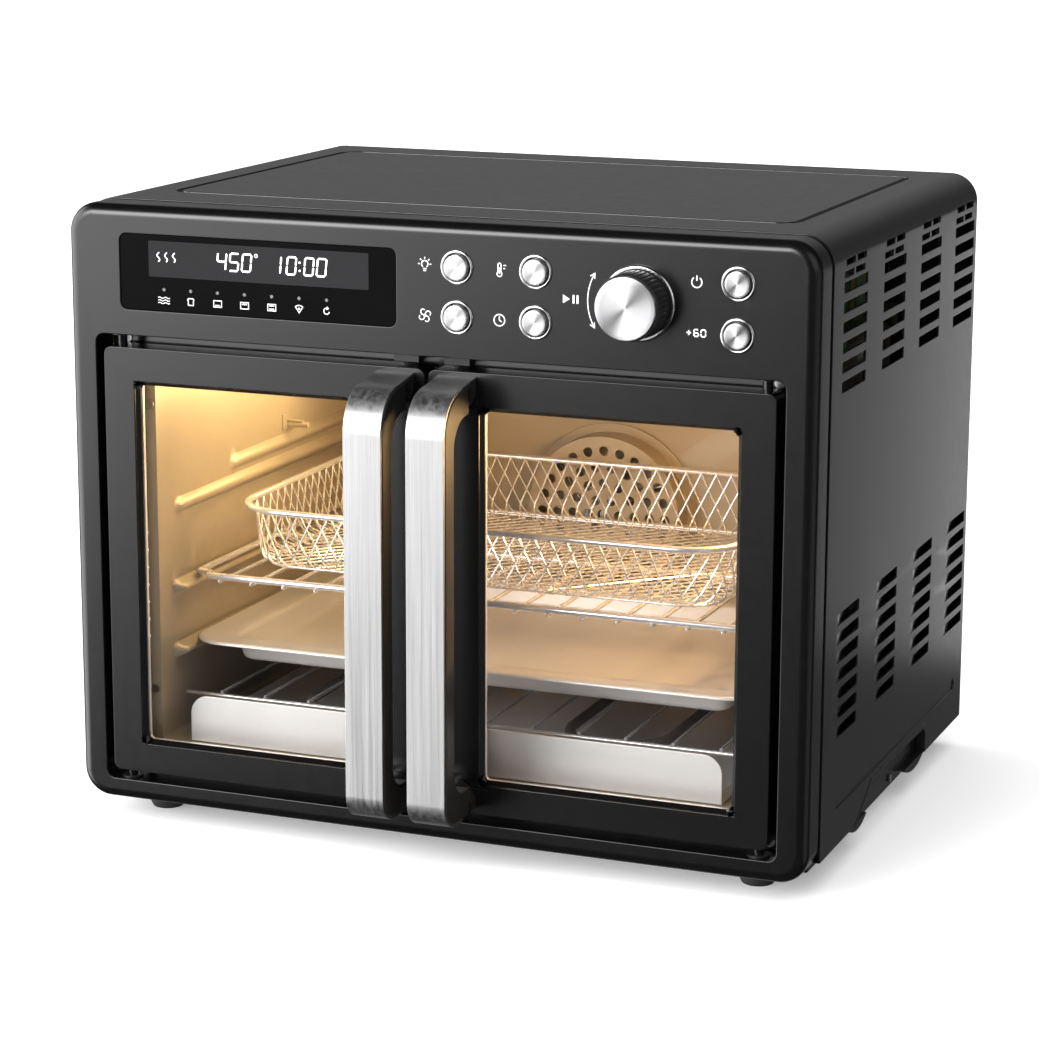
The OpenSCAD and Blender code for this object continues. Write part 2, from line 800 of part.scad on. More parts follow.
module handle_core() {
    boss_r = handle_w / 2 - 0.5;
    centre = handle_in + handle_w / 2;
    left = centre - boss_r;
    color("#111112") intersection() {
        across(handle_in, handle_in + handle_w) difference() {
            handle_profile(strip_t);
            handle_space();
        }
        union() {
            block(handle_in, handle_in + handle_w, -60, -12, 0, 400);
            slab(-12, 0) {
                translate([left, handle_low]) square([2 * boss_r, boss_low - handle_low - boss_r]);
                translate([centre, boss_low - boss_r]) circle(boss_r);
                translate([left, boss_high + boss_r]) square([2 * boss_r, 40]);
                translate([centre, boss_high + boss_r]) circle(boss_r);
            }
        }
    }
}

module handle_trim() {
    color("#d6d6d6") across(handle_in + 0.6, handle_in + handle_w - 0.6) difference() {
        handle_profile(0);
        handle_profile(strip_t);
        translate([-20, 0]) square([40, 200]);
    }
}

module hinge_bushes() {
    color("#151515") both_sides() for (s = [0, 1]) difference() {
        union() {
            translate([hinge_x, hinge_y, s ? recess_top - 1 : recess_low - 3]) cylinder(h = 4, r = bush_r);
            translate([hinge_x, hinge_y, s ? recess_top - 1 : recess_low]) cylinder(h = 1, r = 6.5);
        }
        rod_z(hinge_x, hinge_y, 10, 330, pin_r + running);
    }
}

module door_catches() {
    color("#1b1b1b") both_sides() {
        block(8, 24, 8, 16, 300.5, recess_top);
        rod_z(16, 12, 299, 300.5, 3);
    }
}

// Screw head between y0 and y1, with a cross recess in the face at y0 or, if rear, at y1.
module cross_head(x, z, y0, y1, r, rear = false) {
    depth = 0.5;
    long = 1.6;
    short = 0.35;
    cut = rear ? y1 - depth : y0 - over;
    difference() {
        rod_y(x, z, y0, y1, r);
        for (arm = [[long, short], [short, long]])
            block(x - arm[0], x + arm[0], cut, cut + depth + over, z - arm[1], z + arm[1]);
    }
}

module case_screws() {
    head_t = 0.8;
    rear_head_t = 1.6;
    color("#9c9c9c") {
        both_sides() for (z = corner_screw_z) {
            cross_head(corner_screw_x, z, recess_back - head_t, recess_back, 3);
            rod_y(corner_screw_x, z, recess_back, liner_y, screw_r);
        }
        both_sides() for (z = rear_screw_z) {
            cross_head(rear_screw_x, z, body_back, body_back + rear_head_t, 3.2, rear = true);
            rod_y(rear_screw_x, z, body_back - 6, body_back, screw_r);
        }
        both_sides() for (y = flange_screw_y)
            rod_z(flange_screw_x, y, shell_low - 0.8, shell_low + 4, screw_r);
        both_sides() for (z = liner_screw_z) {
            rod_y(liner_screw_x, z, liner_y - 1, liner_y, 2.6);
            rod_y(liner_screw_x, z, liner_y, liner_y + 6, 1.6);
        }
    }
}

// ---- cooking pieces ----

// The rack's outer frame, with stepped corners, and its middle bar.
module wire_rack() {
    z = rack_z;
    step = 8;
    jog_x = rail_half - 12;
    color("#dcdcdc") {
        for (y = [rack_front, rack_back]) rod_x(step - rail_half, rail_half - step, y, z, wire_r);
        both_sides() {
            rod_y(rail_half - wire_r, z, rack_front + step, rack_back - step, wire_r);
            for (y = [rack_front + step, rack_back - step]) rod_x(jog_x, rail_half - wire_r, y, z, wire_r);
            for (y = [rack_front, rack_back - step]) rod_y(jog_x, z, y, y + step, wire_r);
        }
        rod_x(2 - rail_half, rail_half - 2, (rack_front + rack_back) / 2, z, wire_r - 0.2);
    }
}

// Thin wires under the frame, which run from front to back.
module rack_wires() {
    thin = 1.3;
    color("#e4e4e4") both_sides() for (x = [11 : 22 : 165])
        rod_y(x, rack_z - wire_r - thin - running, rack_front - 3, rack_back + 2, thin);
}

// Plain closed form of the wire basket: floor, walls and the flat rim.
module fry_basket() {
    low = rack_z + wire_r + 0.2;
    color("#cfcfcf") {
        difference() {
            basket_slab(low, basket_z - 2, 8);
            basket_slab(low + 2, basket_z, 10);
        }
        difference() {
            basket_slab(basket_z - 4, basket_z, 0);
            basket_slab(basket_z - 5, basket_z + over, 3);
            basket_slab(low + 2, basket_z - 1, 9.9);
        }
        difference() {
            basket_slab(basket_z - 4, basket_z - 2, 0.5);
            basket_slab(basket_z - 5, basket_z + over, 10);
        }
    }
}

module basket_slab(z0, z1, inset) {
    translate([0, 0, z0]) linear_extrude(z1 - z0) rounded(-basket_half + inset, basket_half - inset,
        basket_front + inset, basket_back - inset, 38 - inset);
}

module pan_slab(z0, z1, inset, r) {
    translate([0, 0, z0]) linear_extrude(z1 - z0)
        rounded(-rail_half + inset, rail_half - inset, pan_front + inset, pan_back - inset, r);
}

module baking_pan() {
    low = pan_z - 17;
    wall = 1.2;
    rim_w = 22;
    color("#c2bfba") {
        difference() {
            union() {
                pan_slab(pan_z - 2, pan_z, 0, 24);
                pan_slab(low, pan_z - 1, rim_w, 14);
            }
            pan_slab(low + wall, pan_z + over, rim_w + wall, 14 - wall);
            pan_slab(pan_z - 3, pan_z - wall, 2, 22);
        }
        difference() {
            pan_slab(pan_z - 3, pan_z - 0.5, rim_w - wall, 15);
            pan_slab(low, pan_z + over, rim_w + wall, 14 - wall);
        }
    }
}

module crumb_tray() {
    z = cavity_floor + 0.4;
    wall = 1.2;
    side_h = 8;
    front_top = 76;
    corner = 12;
    color("#d4d3cf") {
        difference() {
            block(-tray_half, tray_half, tray_y, tray_back, z, z + side_h);
            block(wall - tray_half, tray_half - wall, tray_y - over, tray_back - wall, z + wall,
                z + side_h + over);
        }
        slab(tray_y, tray_y + wall) {
            rounded(-tray_half, tray_half, z, front_top, corner);
            for (x = [-tray_half, tray_half - corner]) translate([x, z]) square(corner);
        }
    }
}

placed() front_bezel();
placed() outer_shell();
placed() rear_cover();
placed() base_plate();
placed() feet();
placed() side_grips();
placed() wall_spacers();
placed() mains_gland();
placed() cavity_liner();
placed() fan_guard();
placed() fan_motor();
placed() motor_bracket();
placed() top_heater();
placed() bottom_heater();
placed() heater_insulators();
placed() heater_guard();
placed() lamp_holder();
placed() lamp_bulb();
placed() temperature_probe();
placed() power_board();
placed() control_board();
placed() display_window();
placed() lcd_panel();
placed() indicator_leds();
placed() knob_ring();
placed() encoder_body();
placed() button_rings();
placed() tact_switches();
placed() hinge_bushes();
placed() door_catches();
placed() case_screws();
placed() mirror([1, 0, 0]) door_frame();  // left_door_frame
placed() mirror([1, 0, 0]) door_glass();  // left_door_glass
placed() mirror([1, 0, 0]) door_backing();  // left_door_backing
placed() mirror([1, 0, 0]) handle_core();  // left_handle_core
placed() mirror([1, 0, 0]) handle_trim();  // left_handle_trim
placed() mirror([1, 0, 0]) hinge_pins();  // left_hinge_pins
placed() door_frame();  // right_door_frame
placed() door_glass();  // right_door_glass
placed() door_backing();  // right_door_backing
placed() handle_core();  // right_handle_core
placed() handle_trim();  // right_handle_trim
placed() hinge_pins();  // right_hinge_pins
placed() push_button(button_x[0], button_z[0]);  // light_button
placed() push_button(button_x[0], button_z[1]);  // convection_button
placed() push_button(button_x[1], button_z[0]);  // temperature_button
placed() push_button(button_x[1], button_z[1]);  // time_button
placed() push_button(button_x[2], button_z[0]);  // cancel_button
placed() push_button(button_x[2], button_z[1]);  // add_minute_button
placed() encoder_plunger();
placed() encoder_shaft();
placed() knob_skirt();
placed() knob_cap();
placed() fan_blade();
placed() motor_shaft();
placed() wire_rack();
placed() rack_wires();
placed() fry_basket();
placed() baking_pan();
placed() crumb_tray();
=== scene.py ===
"""Looks of the French-door toaster oven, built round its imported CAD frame.

Lengths are millimetres in the oven's own measures until at() turns them into metres:
x to the viewer's right, y back from the bezel's front face, z up from the worktop.
"""

import json
import math

import bmesh
import bpy
from mathutils import Matrix, Vector
from mathutils.geometry import tessellate_polygon

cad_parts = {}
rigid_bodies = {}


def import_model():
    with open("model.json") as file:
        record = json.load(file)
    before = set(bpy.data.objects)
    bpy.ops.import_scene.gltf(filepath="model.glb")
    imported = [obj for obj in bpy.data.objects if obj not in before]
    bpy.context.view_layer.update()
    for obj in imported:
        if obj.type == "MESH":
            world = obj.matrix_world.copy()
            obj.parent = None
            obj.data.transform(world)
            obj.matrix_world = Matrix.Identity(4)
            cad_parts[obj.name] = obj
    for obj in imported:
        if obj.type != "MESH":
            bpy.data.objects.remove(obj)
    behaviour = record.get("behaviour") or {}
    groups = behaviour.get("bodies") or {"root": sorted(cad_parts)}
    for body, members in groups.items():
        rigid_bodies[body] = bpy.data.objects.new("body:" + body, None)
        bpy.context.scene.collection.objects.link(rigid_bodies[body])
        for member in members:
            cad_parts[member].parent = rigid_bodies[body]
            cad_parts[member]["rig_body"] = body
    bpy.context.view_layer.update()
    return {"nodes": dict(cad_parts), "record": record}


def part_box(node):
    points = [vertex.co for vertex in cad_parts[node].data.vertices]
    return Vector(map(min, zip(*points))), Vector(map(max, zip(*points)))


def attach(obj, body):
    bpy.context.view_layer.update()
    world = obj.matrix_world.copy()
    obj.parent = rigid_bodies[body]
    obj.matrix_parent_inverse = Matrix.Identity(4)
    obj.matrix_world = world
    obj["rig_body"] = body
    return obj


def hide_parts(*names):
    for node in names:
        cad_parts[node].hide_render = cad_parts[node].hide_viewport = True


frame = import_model()
nodes = frame["nodes"]
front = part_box("front_bezel")[0].y

scene = bpy.context.scene
scene.view_settings.view_transform = "Standard"

# ---------------------------------------------------------------- camera


def make_camera():
    place = (0.70771, -1.79549, 0.61033)
    lens, sensor_width = 107.96, 36
    azimuth, elevation, roll = (math.radians(a) for a in (21.66, 12.70, 0.19))
    back = Vector((math.sin(azimuth) * math.cos(elevation), -math.cos(azimuth) * math.cos(elevation),
                   math.sin(elevation)))
    right = Vector((math.cos(azimuth), math.sin(azimuth), 0))
    up = back.cross(right)
    right, up = (right * math.cos(roll) + up * math.sin(roll),
                 up * math.cos(roll) - right * math.sin(roll))
    data = bpy.data.cameras.new("camera")
    data.lens = lens
    data.sensor_width = sensor_width
    camera = bpy.data.objects.new("camera", data)
    turn = Matrix((right, up, back)).transposed().to_4x4()
    camera.matrix_world = Matrix.Translation(place) @ turn
    scene.collection.objects.link(camera)
    scene.camera = camera


make_camera()

# ---------------------------------------------------------------- materials


class Finish:
    """A material and short ways to add procedural nodes to it."""

    def __init__(self, name):
        self.material = bpy.data.materials.new(name)
        self.material.use_nodes = True
        self.tree = self.material.node_tree
        self.shader = self.tree.nodes["Principled BSDF"]
        self.out = self.tree.nodes["Material Output"]
        self.place = self.add("ShaderNodeTexCoord").outputs["Object"]

    def add(self, kind, links=(), **settings):
        """Adds a node; settings name its properties, or its inputs after 'in_'."""
        node = self.tree.nodes.new(kind)
        for key, value in settings.items():
            if key.startswith("in_"):
                node.inputs[key[3:].replace("_", " ")].default_value = value
            else:
                setattr(node, key, value)
        for socket, source in links:
            self.tree.links.new(source, node.inputs[socket])
        return node

    def link(self, source, socket):
        self.tree.links.new(source, self.shader.inputs[socket])

    def stretched(self, scale):
        return self.add("ShaderNodeMapping", [("Vector", self.place)], in_Scale=scale).outputs["Vector"]

    def noise(self, scale, detail=2.0, stretch=None, rough=0.5):
        source = self.place if stretch is None else self.stretched(stretch)
        return self.add("ShaderNodeTexNoise", [("Vector", source)], in_Scale=scale, in_Detail=detail,
                        in_Roughness=rough).outputs["Fac"]

    def ramp(self, source, low, high, start=0.3, end=0.7):
        """Turns a 0 to 1 value into a colour between low and high, or a number between them."""
        if isinstance(low, (int, float)):
            return self.add("ShaderNodeMapRange", [("Value", source)], in_From_Min=start, in_From_Max=end,
                            in_To_Min=low, in_To_Max=high).outputs["Result"]
        node = self.add("ShaderNodeValToRGB", [("Fac", source)])
        node.color_ramp.elements[0].position = start
        node.color_ramp.elements[1].position = end
        node.color_ramp.elements[0].color = (*low, 1)
        node.color_ramp.elements[1].color = (*high, 1)
        return node.outputs["Color"]

    def bump(self, height, distance):
        return self.add("ShaderNodeBump", [("Height", height)], in_Distance=distance).outputs["Normal"]


def shade(color, by):
    """A colour made darker or lighter by a factor."""
    return tuple(min(1.0, c * by) for c in color)


def plain(name, color, rough, metal=0.0, vary=0.12, grain=900, depth=2e-5, stretch=None, **sockets):
    """A surface with mottled colour, uneven roughness and a fine grain in its bump."""
    f = Finish(name)
    s = f.shader.inputs
    f.link(f.ramp(f.noise(14, 3), shade(color, 1 - vary), shade(color, 1 + vary)), "Base Color")
    f.link(f.ramp(f.noise(160, 3), rough * 0.94, rough * 1.06), "Roughness")
    f.link(f.bump(f.noise(grain, 2, stretch), depth), "Normal")
    s["Metallic"].default_value = metal
    for key, value in sockets.items():
        s[key.replace("_", " ")].default_value = value
    return f.material


def brushed(name, color, rough):
    """Brushed steel whose grain runs up and down."""
    f = Finish(name)
    fine = f.noise(1, 3, (2600, 2600, 14), 0.65)
    broad = f.noise(1, 2, (420, 420, 5))
    f.link(f.ramp(fine, shade(color, 0.74), shade(color, 1.12), 0.25, 0.75), "Base Color")
    f.link(f.ramp(broad, rough * 0.8, rough * 1.2), "Roughness")
    f.link(f.bump(fine, 3e-5), "Normal")
    f.link(f.add("ShaderNodeTangent", direction_type="RADIAL", axis="Y").outputs["Tangent"], "Tangent")
    f.shader.inputs["Metallic"].default_value = 1.0
    return f.material


def spun(name, color, rough, anisotropy):
    """Metal turned on a lathe: rings round the piece's own middle, about the Y axis."""
    f = Finish(name)
    middle = f.add("ShaderNodeVectorMath", [(0, f.add("ShaderNodeTexCoord").outputs["Generated"])],
                   operation="SUBTRACT")
    middle.inputs[1].default_value = (0.5, 0.5, 0.5)
    flat = f.add("ShaderNodeVectorMath", [(0, middle.outputs[0])], operation="MULTIPLY")
    flat.inputs[1].default_value = (1, 0, 1)
    radius = f.add("ShaderNodeVectorMath", [(0, flat.outputs[0])], operation="LENGTH").outputs["Value"]
    rings = f.add("ShaderNodeTexNoise", [("W", radius)], noise_dimensions="1D", in_Scale=90,
                  in_Detail=2).outputs["Fac"]
    f.link(f.ramp(rings, shade(color, 0.92), shade(color, 1.04)), "Base Color")
    f.link(f.ramp(rings, rough * 0.95, rough * 1.05), "Roughness")
    f.link(f.bump(rings, 5e-7), "Normal")
    tangent = f.add("ShaderNodeTangent", direction_type="RADIAL", axis="Y").outputs["Tangent"]
    f.link(tangent, "Tangent")
    s = f.shader.inputs
    s["Metallic"].default_value = 1.0
    s["Anisotropic"].default_value = anisotropy
    s["Anisotropic Rotation"].default_value = 0.25
    return f.material


def glass(name, tint, haze):
    """Thin clear glass: see-through, with a reflection that grows towards the edge."""
    f = Finish(name)
    clear = f.add("ShaderNodeBsdfTransparent")
    clear.inputs["Color"].default_value = (*tint, 1)
    f.shader.inputs["Base Color"].default_value = (0.02, 0.02, 0.02, 1)
    f.link(f.ramp(f.noise(25, 3), haze * 0.8, haze * 1.2), "Roughness")
    f.link(f.bump(f.noise(30, 1), 1e-5), "Normal")
    facing = f.add("ShaderNodeLayerWeight", in_Blend=0.08)
    share = f.ramp(facing.outputs["Fresnel"], 0.035, 0.55, 0.0, 1.0)
    mix = f.add("ShaderNodeMixShader", [(0, share), (1, clear.outputs[0]), (2, f.shader.outputs[0])])
    f.tree.links.new(mix.outputs[0], f.out.inputs["Surface"])
    return f.material


def lit(name, color, strength):
    """Lit marks and printed marks: a plain white with faint mottling that also glows a little; on the
    printed marks the glow is painted light.
    """
    f = Finish(name)
    f.link(f.ramp(f.noise(300, 2), shade(color, 0.92), color), "Base Color")
    f.link(f.ramp(f.noise(500, 2), 0.4, 0.55), "Roughness")
    f.shader.inputs["Emission Color"].default_value = (*color, 1)
    f.shader.inputs["Emission Strength"].default_value = strength
    return f.material


def circuit(name):
    """Green board with brick-laid tracks."""
    f = Finish(name)
    tracks = f.add("ShaderNodeTexBrick", [("Vector", f.stretched((90, 90, 90)))], in_Mortar_Size=0.03)
    tracks.inputs["Color1"].default_value = (0.02, 0.13, 0.05, 1)
    tracks.inputs["Color2"].default_value = (0.015, 0.1, 0.04, 1)
    tracks.inputs["Mortar"].default_value = (0.3, 0.22, 0.08, 1)
    f.link(tracks.outputs["Color"], "Base Color")
    f.link(f.ramp(f.noise(120, 2), 0.35, 0.6), "Roughness")
    return f.material


def cavity_steel(name):
    """Aluminised steel with a spangled surface and a faint baked-on tan."""
    f = Finish(name)
    cells = f.add("ShaderNodeTexVoronoi", [("Vector", f.place)], in_Scale=260).outputs["Color"]
    spangle = f.add("ShaderNodeRGBToBW", [("Color", cells)]).outputs[0]
    f.link(f.ramp(f.noise(9, 4), (0.35, 0.295, 0.22), (0.42, 0.36, 0.28)), "Base Color")
    f.link(f.ramp(spangle, 0.36, 0.46, 0.0, 1.0), "Roughness")
    f.link(f.bump(f.noise(60, 3), 4e-5), "Normal")
    f.shader.inputs["Metallic"].default_value = 0.4
    return f.material


finishes = {
    "satin_black_metal": plain("satin_black_metal", (0.003, 0.003, 0.0031), 0.23, 0.0, 0.05, 1500, 5e-6,
                               Specular_IOR_Level=0.6),
    "graphite_metal": plain("graphite_metal", (0.006, 0.006, 0.0062), 0.25, 0.0, 0.05, 1500, 5e-6,
                            Specular_IOR_Level=0.8),
    # Painted shadow: dull paint for the floor of the top panel's groove, standing in for the shade there.
    "painted_groove_shadow": plain("painted_groove_shadow", (0.006, 0.006, 0.006), 0.5, 0.0, 0.05, 1500, 5e-6,
                          Specular_IOR_Level=0.08),
    "black_plastic": plain("black_plastic", (0.012, 0.012, 0.012), 0.35, 0.0, 0.2, 1100, 2e-5),
    "black_rubber": plain("black_rubber", (0.014, 0.014, 0.014), 0.75, 0.0, 0.25, 700, 4e-5),
    "aluminised_steel": cavity_steel("aluminised_steel"),
    "bare_steel": plain("bare_steel", (0.76, 0.75, 0.77), 0.34, 0.4, 0.05, 500, 1e-5),
    "heater_sheath": plain("heater_sheath", (0.2, 0.18, 0.17), 0.5, 0.7, 0.3, 700, 4e-5),
    "plated_wire": plain("plated_wire", (0.86, 0.85, 0.88), 0.24, 0.7, 0.05, 900, 1e-5),
    "ceramic_white": plain("ceramic_white", (0.78, 0.75, 0.68), 0.45, 0.0, 0.06, 800, 2e-5),
    "gloss_black": plain("gloss_black", (0.003, 0.003, 0.0033), 0.1, 0.0, 0.2, 60, 3e-6,
                         Specular_IOR_Level=0.02),
    "lcd_glass": plain("lcd_glass", (0.022, 0.022, 0.023), 0.25, 0.0, 0.05, 90, 3e-6,
                       Specular_IOR_Level=0.02),
    "led_lens": plain("led_lens", (0.14, 0.14, 0.14), 0.3, 0.0, 0.15, 900, 1e-5),
    "circuit_board": circuit("circuit_board"),
    "polished_ring": plain("polished_ring", (0.9, 0.9, 0.9), 0.12, 1.0, 0.04, 1200, 4e-6),
    "spun_aluminium": spun("spun_aluminium", (0.7, 0.7, 0.71), 0.26, 0.88),
    "machined_steel": plain("machined_steel", (0.5, 0.5, 0.5), 0.35, 1.0, 0.1, 1500, 1e-5, (1, 1, 6)),
    "brass_bush": plain("brass_bush", (0.7, 0.5, 0.22), 0.3, 1.0, 0.1, 1200, 1e-5),
    "brushed_strip": brushed("brushed_strip", (0.55, 0.55, 0.55), 0.42),
    "door_glass": glass("door_glass", (0.97, 0.965, 0.95), 0.03),
    "lamp_glass": lit("lamp_glass", (1.0, 0.82, 0.5), 6.0),
    # Printed marks with a painted glow: the emission makes the print brighter than the light on it.
    "white_print": lit("white_print", (0.9, 0.9, 0.9), 0.25),
    "display_light": lit("display_light", (1.0, 1.0, 1.0), 0.9),
}

# ---------------------------------------------------------------- making pieces


def at(x, y, z):
    return Vector((x / 1000, front + y / 1000, z / 1000))


slot_of = {part["node"]: part["material_slot"] for part in frame["record"]["subparts"]}


def dress(obj, body, slot, stands_for=()):
    """Gives a piece its finish and body, and hides the CAD nodes that it stands for."""
    obj.data.materials.clear()
    obj.data.materials.append(finishes[slot])
    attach(obj, body)
    if stands_for:
        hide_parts(*stands_for)
    return obj


def settle(obj):
    """Applies the modifiers, so that the piece is a plain mesh."""
    bpy.context.view_layer.update()
    depsgraph = bpy.context.evaluated_depsgraph_get()
    mesh = bpy.data.meshes.new_from_object(obj.evaluated_get(depsgraph), depsgraph=depsgraph)
    obj.modifiers.clear()
    obj.data = mesh


def smooth_object(name, verts, faces):
    """An object of welded, smooth-shaded faces that all face outwards."""
    mesh = bpy.data.meshes.new(name)
    mesh.from_pydata(verts, [], faces)
    bm = bmesh.new()
    bm.from_mesh(mesh)
    bmesh.ops.remove_doubles(bm, verts=bm.verts, dist=1e-7)
    bmesh.ops.recalc_face_normals(bm, faces=bm.faces)
    bm.to_mesh(mesh)
    bm.free()
    mesh.shade_smooth()
    obj = bpy.data.objects.new(name, mesh)
    scene.collection.objects.link(obj)
    return obj


def piece(name, verts, faces, body, slot, stands_for=(), sharp=40):
    """A finished piece whose edges stay sharp above an angle in degrees."""
    obj = smooth_object(name, verts, faces)
    obj.data.set_sharp_from_angle(angle=math.radians(sharp))
    return dress(obj, body, slot, stands_for)


def soften(node, width):
    """A copy of a CAD node with its sharp edges rounded and shaded smooth."""
    source = nodes[node]
    bm = bmesh.new()
    bm.from_mesh(source.data)
    bmesh.ops.remove_doubles(bm, verts=bm.verts, dist=1e-6)
    bmesh.ops.dissolve_limit(bm, angle_limit=math.radians(0.4), verts=bm.verts, edges=bm.edges)
    mesh = bpy.data.meshes.new(node + "_soft")
    plain_mesh = bpy.data.meshes.new("scratch")
    bm.to_mesh(plain_mesh)
    bm.free()
    corners = [list(polygon.vertices) for polygon in plain_mesh.polygons]
    mesh.from_pydata([v.co for v in plain_mesh.vertices], [], corners)
    bpy.data.meshes.remove(plain_mesh)
    mesh.shade_smooth()
    obj = bpy.data.objects.new(node + "_soft", mesh)
    scene.collection.objects.link(obj)
    bevel = obj.modifiers.new("bevel", "BEVEL")
    bevel.width = width / 1000
    bevel.segments = 2
    bevel.limit_method = "ANGLE"
    bevel.angle_limit = math.radians(35)
    bevel.use_clamp_overlap = False
    normals = obj.modifiers.new("normals", "WEIGHTED_NORMAL")
    normals.keep_sharp = True
    settle(obj)
    return dress(obj, source["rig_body"], slot_of[node], [node])


def ring_faces(rings, per_ring, closed_path=False):
    """Quads between successive rings of points, each ring closed on itself."""
    faces = []
    for r in range(rings if closed_path else rings - 1):
        a, b = r * per_ring, (r + 1) % rings * per_ring
        for i in range(per_ring):
            j = (i + 1) % per_ring
            faces.append((a + i, a + j, b + j, b + i))
    return faces


def lathe(name, x, z, profile, body, slot, stands_for=(), steps=64):
    """Turns a profile of (radius, y) points about an axis along Y.

    The profile starts and ends on the axis, or joins its end to its start.
    """
    on_axis = profile[0][0] == 0
    verts = []
    for radius, y in profile:
        for i in range(steps):
            a = 2 * math.pi * i / steps
            verts.append(at(x + radius * math.cos(a), y, z + radius * math.sin(a)))
    faces = ring_faces(len(profile), steps, closed_path=not on_axis)
    return piece(name, verts, faces, body, slot, stands_for, sharp=50)


def tube_mesh(points, radius, sides, closed=False, round_ends=False):
    """Vertices and faces of a round wire along points (mm), each end a flat or domed cap."""
    points = [Vector(p) for p in points]
    radii = [radius] * len(points)
    if round_ends and not closed:
        head, tail = points[0] - points[1], points[-1] - points[-2]
        domes = [(0.5, 0.86), (0.86, 0.5), (0.99, 0.12)]        # distance out and radius, in radii
        start = [(points[0] + head.normalized() * radius * along, radius * share) for along, share in domes]
        end = [(points[-1] + tail.normalized() * radius * along, radius * share) for along, share in domes]
        radii = [s[1] for s in reversed(start)] + radii + [e[1] for e in end]
        points = [s[0] for s in reversed(start)] + points + [e[0] for e in end]
    count = len(points)
    verts, normal = [], None
    for i, p in enumerate(points):
        before = points[i - 1] if i or closed else p
        after = points[(i + 1) % count] if i < count - 1 or closed else p
        along = (after - before).normalized()
        if normal is None:
            normal = along.orthogonal().normalized()
        normal = (normal - along * normal.dot(along)).normalized()
        side = along.cross(normal)
        for k in range(sides):
            a = 2 * math.pi * k / sides
            verts.append(at(*(p + (normal * math.cos(a) + side * math.sin(a)) * radii[i])))
    faces = ring_faces(count, sides, closed)
    if not closed:
        faces.append(tuple(range(sides)))
        faces.append(tuple(range((count - 1) * sides, count * sides)))
    return verts, faces


def join(parts):
    """Vertices and faces of several parts as one list of each."""
    verts, faces = [], []
    for v, f in parts:
        start = len(verts)
        verts += v
        faces += [tuple(i + start for i in face) for face in f]
    return verts, faces


def rounded_ring(x0, x1, y0, y1, r, per_corner=10):
    """Points round a rectangle with rounded corners."""
    points = []
    for cx, cy, start in ((x1 - r, y1 - r, 0), (x0 + r, y1 - r, 90), (x0 + r, y0 + r, 180),
                          (x1 - r, y0 + r, 270)):
        for i in range(per_corner + 1):
            a = math.radians(start + 90 * i / per_corner)
            points.append((cx + r * math.cos(a), cy + r * math.sin(a)))
    return points


def inset_ring(outline, inset, r, per_corner=10):
    """Points round an outline of (half width, near y, far y) moved in by inset, with corner radius r."""
    half, near, far = outline
    return rounded_ring(inset - half, half - inset, near + inset, far - inset, r, per_corner)


def plate(outline, y0, y1):
    """A flat plate between y0 and y1 whose outline is a list of (x, z) points."""
    triangles = tessellate_polygon([[Vector((x, z, 0)) for x, z in outline]])
    verts = [at(x, y, z) for y in (y0, y1) for x, z in outline]
    n = len(outline)
    faces = [tuple(t) for t in triangles] + [tuple(i + n for i in t) for t in triangles]
    for i in range(n):
        j = (i + 1) % n
        faces.append((i, j, j + n, i + n))
    return verts, faces


INK = 0.05                      # thickness of the printed marks


def ribbon(points, width, y, closed=False):
    """A flat line of even width through (x, z) points, as thick as ink, in front of y."""
    points = [Vector(p) for p in points]
    n = len(points)
    left, right = [], []
    for i, p in enumerate(points):
        ahead = (points[(i + 1) % n] - p) if i < n - 1 or closed else (p - points[i - 1])
        behind = (p - points[i - 1]) if i or closed else ahead
        ahead, behind = ahead.normalized(), behind.normalized()
        mean = (ahead + behind).normalized()
        across = Vector((-mean.y, mean.x))
        reach = width / 2 / max(0.4, across.dot(Vector((-ahead.y, ahead.x))))
        left.append(p + across * reach)
        right.append(p - across * reach)
    verts = [at(v.x, yy, v.y) for yy in (y - INK, y) for v in left + right]
    m = 2 * n
    faces = []
    for i in range(n if closed else n - 1):
        j = (i + 1) % n
        faces += [(i, j, n + j, n + i), (m + i, m + j, m + n + j, m + n + i), (i, j, m + j, m + i),
                  (n + i, n + j, m + n + j, m + n + i)]
    if not closed:
        for i in (0, n - 1):
            faces.append((i, n + i, m + n + i, m + i))
    return verts, faces


def arc(cx, cz, r, a0, a1, steps=14):
    """Points on an arc from angle a0 to a1, in degrees."""
    angles = [math.radians(a0 + (a1 - a0) * i / steps) for i in range(steps + 1)]
    return [(cx + r * math.cos(a), cz + r * math.sin(a)) for a in angles]


def stroke(x, z, points, width, y, closed=False):
    """A ribbon through points measured from (x, z)."""
    return ribbon([(x + dx, z + dz) for dx, dz in points], width, y, closed)


# ---------------------------------------------------------------- casing, doors and controls

ROUNDED_EDGES = {               # width of the rounding of each node's edges
    "front_bezel": 0.6, "outer_shell": 0.35, "rear_cover": 0.3, "base_plate": 0.3, "feet": 0.5,
    "side_grips": 0.5, "wall_spacers": 0.4, "mains_gland": 0.3, "fan_guard": 0.3, "heater_insulators": 0.3,
    "temperature_probe": 0.2, "door_catches": 0.3, "display_window": 0.25, "knob_skirt": 0.1,
    "hinge_bushes": 0.2, "fan_blade": 0.15, "crumb_tray": 0.35, "knob_ring": 0.25,
    "left_door_frame": 0.5, "right_door_frame": 0.5, "left_door_backing": 0.3, "right_door_backing": 0.3,
    "left_handle_core": 0.8, "right_handle_core": 0.8, "left_handle_trim": 0.35, "right_handle_trim": 0.35,
    "left_hinge_pins": 0.3, "right_hinge_pins": 0.3,
}
for node, width in ROUNDED_EDGES.items():
    soften(node, width)

for node, obj in nodes.items():
    for place in obj.material_slots:
        place.material = finishes[slot_of[node]]

